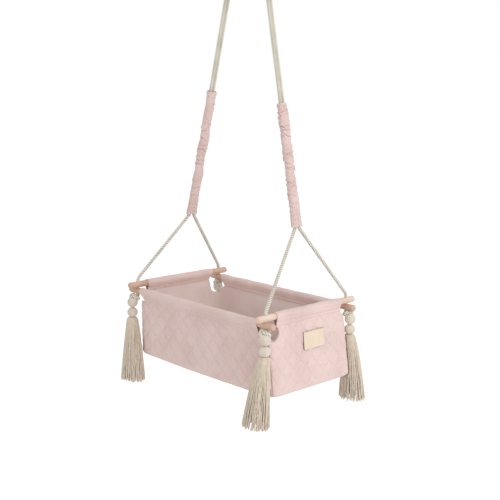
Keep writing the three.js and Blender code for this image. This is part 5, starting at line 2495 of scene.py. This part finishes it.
@dataclass
class Whippings:
    """String wound tightly round ropes: the lashings where each V closes and the wrap under the ring."""

    finish: bpy.types.Material
    rope_radius: float = 0.0065
    half_pair: float = 0.0068
    half_legs: float = 0.012
    play: float = 0.0004
    lashing_string: float = 0.0022
    lashing_levels: tuple[float, float] = (0.015, 0.041)
    wrap_string: float = 0.003
    wrap_levels: tuple[float, float] = (1.600, 1.651)
    pressed_share: float = 0.53

    def build(self) -> None:
        """Makes the two lashings and the wrap."""
        for pair in PAIRS:
            path = self._wound(0.0, self.lashing_string, self.lashing_levels)
            self._make(f"lashing_{pair.name}", pair.placed(path), self.lashing_string)
        path = self._wound(self.half_legs, self.wrap_string, self.wrap_levels)
        self._make("gathering_wrap", lowered(path), self.wrap_string)

    def _wound(self, half_legs: float, string: float, levels: tuple[float, float]) -> np.ndarray:
        """Winds a string's middle line round the ropes.

        Args:
            half_legs: Half the distance between the pairs along X, zero for one pair.
            string: Thickness of the string.
            levels: Lowest and highest reach of the winding.

        Returns:
            Points of the line, in the ropes' own frame.
        """
        reach = self.rope_radius + self.play + string / 2
        loop = rounded_loop(half_legs, self.half_pair, reach)
        steps = len(loop) - 1
        turns = (levels[1] - levels[0]) / string - 1
        share = np.arange(round(turns * steps) + 1) / steps
        x, y = (np.interp(share % 1 * steps, np.arange(steps + 1), loop[:, k]) for k in range(2))
        return np.stack([x, y, levels[0] + string / 2 + share * string], axis=1)

    def _make(self, node: str, path: np.ndarray, string: float) -> None:
        """Makes a wound string, pressed a little flat against its neighbours."""
        surface = Surface()
        surface.add_tube(rings_along(path, np.full((len(path), 8), string * self.pressed_share)))
        piece = surface.build(f"wound_{node}", [self.finish])
        dress(piece, Body.CRADLE.value, [node])


# Hanging hardware


@dataclass
class Hardware:
    """The steel ring, the swivel eye with its stem and head, the housing, the plate and its screws."""

    finish: bpy.types.Material
    ring_radius: float = 0.035
    wire_radius: float = 0.0045
    ring_level: float = 1.700
    eye_radius: float = 0.015
    eye_level: float = 1.7407
    housing_levels: tuple[float, float] = (1.7642, 1.7822)
    housing_radius: float = 0.014
    stem_radius: float = 0.005
    head_radius: float = 0.0085
    head_height: float = 0.006
    plate_radius: float = 0.035
    plate_levels: tuple[float, float] = (1.7825, 1.7875)
    screw_radius: float = 0.0045
    screw_head: float = 0.0026
    recess_half: tuple[float, float] = (0.0026, 0.0004)
    recess_levels: tuple[float, float] = (-0.001, 0.0011)
    weld: float = 0.0004
    weld_reach: float = 0.06
    sides: int = 64

    def build(self) -> None:
        """Makes the hardware from the ring up to the screws."""
        self._loop("hanging_ring", self.ring_radius, self.ring_level, 1, Body.RING)
        self._eye()
        self._housing()
        self._plate()
        for side in ("left", "right"):
            self._screw(f"plate_screw_{side}")

    def _circle(self, radius: float, level: float, axis: int) -> np.ndarray:
        """A closed circle that stands upright, along Y for axis 1 and along X for axis 0."""
        angle = np.linspace(0, FULL_TURN, 97)
        path = np.zeros((len(angle), 3))
        path[:, axis] = radius * np.cos(angle)
        path[:, 2] = level + radius * np.sin(angle)
        return lowered(path)

    def _loop(self, node: str, radius: float, level: float, axis: int, body: Body) -> None:
        """Makes a closed ring of wire with its weld."""
        path = self._circle(radius, level, axis)
        angle = np.linspace(0, FULL_TURN, len(path))
        weld = self.weld * bell((angle - 3 * QUARTER_TURN) / self.weld_reach)
        surface = Surface()
        radii = np.broadcast_to((self.wire_radius + weld)[:, None], (len(path), 32))
        surface.add_grid(rings_along(path, radii, closed=True), wrap=True)
        piece = surface.build(f"bent_{node}", [self.finish])
        dress(piece, body.value, [node])

    def _eye(self) -> None:
        """Makes the swivel eye: a ring of wire, its collar, the stem and the head in the housing."""
        surface = Surface()
        path = self._circle(self.eye_radius, self.eye_level, 0)
        wire = np.full((len(path), 32), self.wire_radius)
        surface.add_grid(rings_along(path, wire, closed=True), wrap=True)
        top = box_of("swivel_eye")[1][2] - ROD_TOP_LEVEL
        foot = self.eye_level + self.eye_radius
        head = top - self.head_height
        ease = 0.0006
        profile = [
            (self.stem_radius + 0.0022, foot + 0.001),
            (self.stem_radius + 0.0016, foot + 0.0045),
            (self.stem_radius, foot + 0.0062),
            (self.stem_radius, head),
            (self.head_radius - ease, head),
            (self.head_radius, head + ease),
            (self.head_radius, top - ease),
            (self.head_radius - ease, top),
        ]
        surface.add_tube(lowered(turned_rings(profile, self.sides)))
        piece = surface.build("forged_swivel_eye", [self.finish], sharp=35.0)
        dress(piece, Body.SWIVEL.value, ["swivel_eye"])

    def _housing(self) -> None:
        """Makes the housing, open below round the stem and hollow round the head."""
        low, high = self.housing_levels
        play, lip, ease = 0.0004, 0.004, 0.0008
        bore, room = self.stem_radius + play, self.head_radius + play
        profile = [
            (room, high),
            (self.housing_radius - ease, high),
            (self.housing_radius, high - ease),
            (self.housing_radius, low + 0.004),
            (self.housing_radius - 0.001, low + 0.0032),
            (self.housing_radius, low + 0.0024),
            (self.housing_radius, low + ease),
            (self.housing_radius - ease, low),
            (bore, low),
            (bore, low + lip),
            (room, low + lip),
            (room, high),
        ]
        surface = Surface()
        surface.add_grid(lowered(turned_rings(profile, self.sides)), wrap=True)
        piece = surface.build("turned_swivel_housing", [self.finish], sharp=35.0)
        dress(piece, Body.MOUNT.value, ["swivel_housing"])

    def _plate(self) -> None:
        """Makes the ceiling plate with an eased, slightly domed rim."""
        low, high = self.plate_levels
        profile = [
            (0.001, low),
            (self.plate_radius * 0.6, low),
            (self.plate_radius - 0.004, low + 0.0002),
            (self.plate_radius - 0.0012, low + 0.0009),
            (self.plate_radius, low + 0.0022),
            (self.plate_radius, high),
            (0.001, high),
        ]
        surface = Surface()
        surface.add_tube(lowered(turned_rings(profile, 96)))
        piece = surface.build("pressed_ceiling_plate", [self.finish], sharp=35.0)
        dress(piece, Body.MOUNT.value, ["ceiling_plate"])

    def _screw(self, node: str) -> None:
        """Makes one screw with a domed head and a cross recess."""
        low, high = box_of(node)
        middle = np.array([(low[0] + high[0]) / 2, (low[1] + high[1]) / 2, 0.0])
        radius, height = self.screw_radius, self.screw_head
        top = low[2] + height
        dome = np.linspace(0, QUARTER_TURN, 7)
        profile = [(max(radius * math.sin(a), 0.0003), top - height * math.cos(a)) for a in dome]
        profile += [(radius * 0.55, top + 0.0001)]
        surface = Surface()
        surface.add_tube(turned_rings(profile, 40) + middle)
        piece = surface.build(f"domed_{node}", [self.finish], sharp=35.0)
        drills = []
        for turn in (0.0, QUARTER_TURN):
            blade = Surface()
            half = np.array([[-1, -1], [1, -1], [1, 1], [-1, 1]]) * np.array(self.recess_half)
            turned = half @ np.array([[math.cos(turn), math.sin(turn)], [-math.sin(turn), math.cos(turn)]])
            rings = [np.c_[turned, np.full(4, low[2] + h)] + middle for h in self.recess_levels]
            blade.add_tube(np.stack(rings))
            drills.append(blade.build("recess", [self.finish]))
        cut(piece, drills)
        dress(piece, Body.MOUNT.value, [node])


# The hollow colours and amounts paint shade, with some dust, into the grooves of rope, knots, yarn and
# tassel strands
YARNS = (
    YarnFinish("laid_cotton_rope", (238, 233, 220), (196, 188, 168), hollow=(84, 75, 58), hollow_amount=1.0),
    YarnFinish("knotted_rope", (238, 233, 220), (200, 192, 174), hollow_amount=0.6),
    YarnFinish("wound_yarn", (229, 219, 206), (206, 194, 178), hollow_amount=0.4),
    YarnFinish("tassel_yarn", (226, 212, 194), (196, 178, 156), patch=0.012, hollow=(128, 108, 88)),
)
# The hollow amounts paint shade, with some dust, into the stitched channels, creases and hollows of the
# cloth
CLOTHS = (
    ClothFinish("quilted_cotton", (235, 210, 204), (219, 192, 186), hollow_amount=0.16),
    ClothFinish("hem_cotton", (234, 209, 203), (218, 190, 184)),
    ClothFinish("lining_cotton", (231, 213, 208), (216, 195, 190)),
    ClothFinish(
        "sleeve_cotton",
        (231, 206, 200),
        (212, 184, 177),
        crumple=0.0008,
        hollow=(164, 130, 125),
        hollow_amount=0.6,
    ),
    ClothFinish("mattress_cotton", (238, 232, 224), (222, 214, 205)),
)
WOODS = (
    WoodFinish("turned_wood", (220, 188, 167), (194, 152, 125), 0.5),
    # A paler copy of the turned wood, painted light for the right end rod nearest the key lamp
    WoodFinish("painted_lit_turned_wood", (243, 222, 205), (218, 184, 160), 0.5),
    WoodFinish("base_board_wood", (222, 190, 152), (196, 158, 118), 0.6, bands=60.0),
    WoodFinish("tag_wood", (238, 221, 200), (224, 202, 176), 0.6, bands=90.0),
    WoodFinish("browned_tag_edge", (140, 98, 66), (104, 70, 46), 0.7),
)


def main() -> None:
    """Builds the cradle's looks sub-assembly by sub-assembly."""
    logging.basicConfig(level=logging.INFO, format="%(message)s")
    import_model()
    effects = SharedEffects()
    rope, knotted, balls, tassel = (finish.material(effects) for finish in YARNS)
    quilted, hem, lining, sleeve, cover = (finish.material(effects) for finish in CLOTHS)
    wood, painted_lit_wood, board, tag, tag_edge = (finish.material(effects) for finish in WOODS)
    steel = SteelFinish("brushed_steel", (198, 200, 203), (150, 152, 156), 0.3).material(effects)
    PhotographCamera().build()
    Studio().build()
    Rods(wood, painted_lit_wood).build()
    knots = Knots(knotted).build()
    Ropes(rope).build(knots)
    Whippings(rope).build()
    QuiltedWalls(quilted).build()
    HemTunnels(hem).build()
    Lining(lining).build()
    Bottom(quilted, board, cover).build()
    Tag(tag, tag_edge).build()
    Tassels(balls, tassel).build()
    RopeSleeves(sleeve).build()
    Hardware(steel).build()


if __name__ == "__main__":
    main()
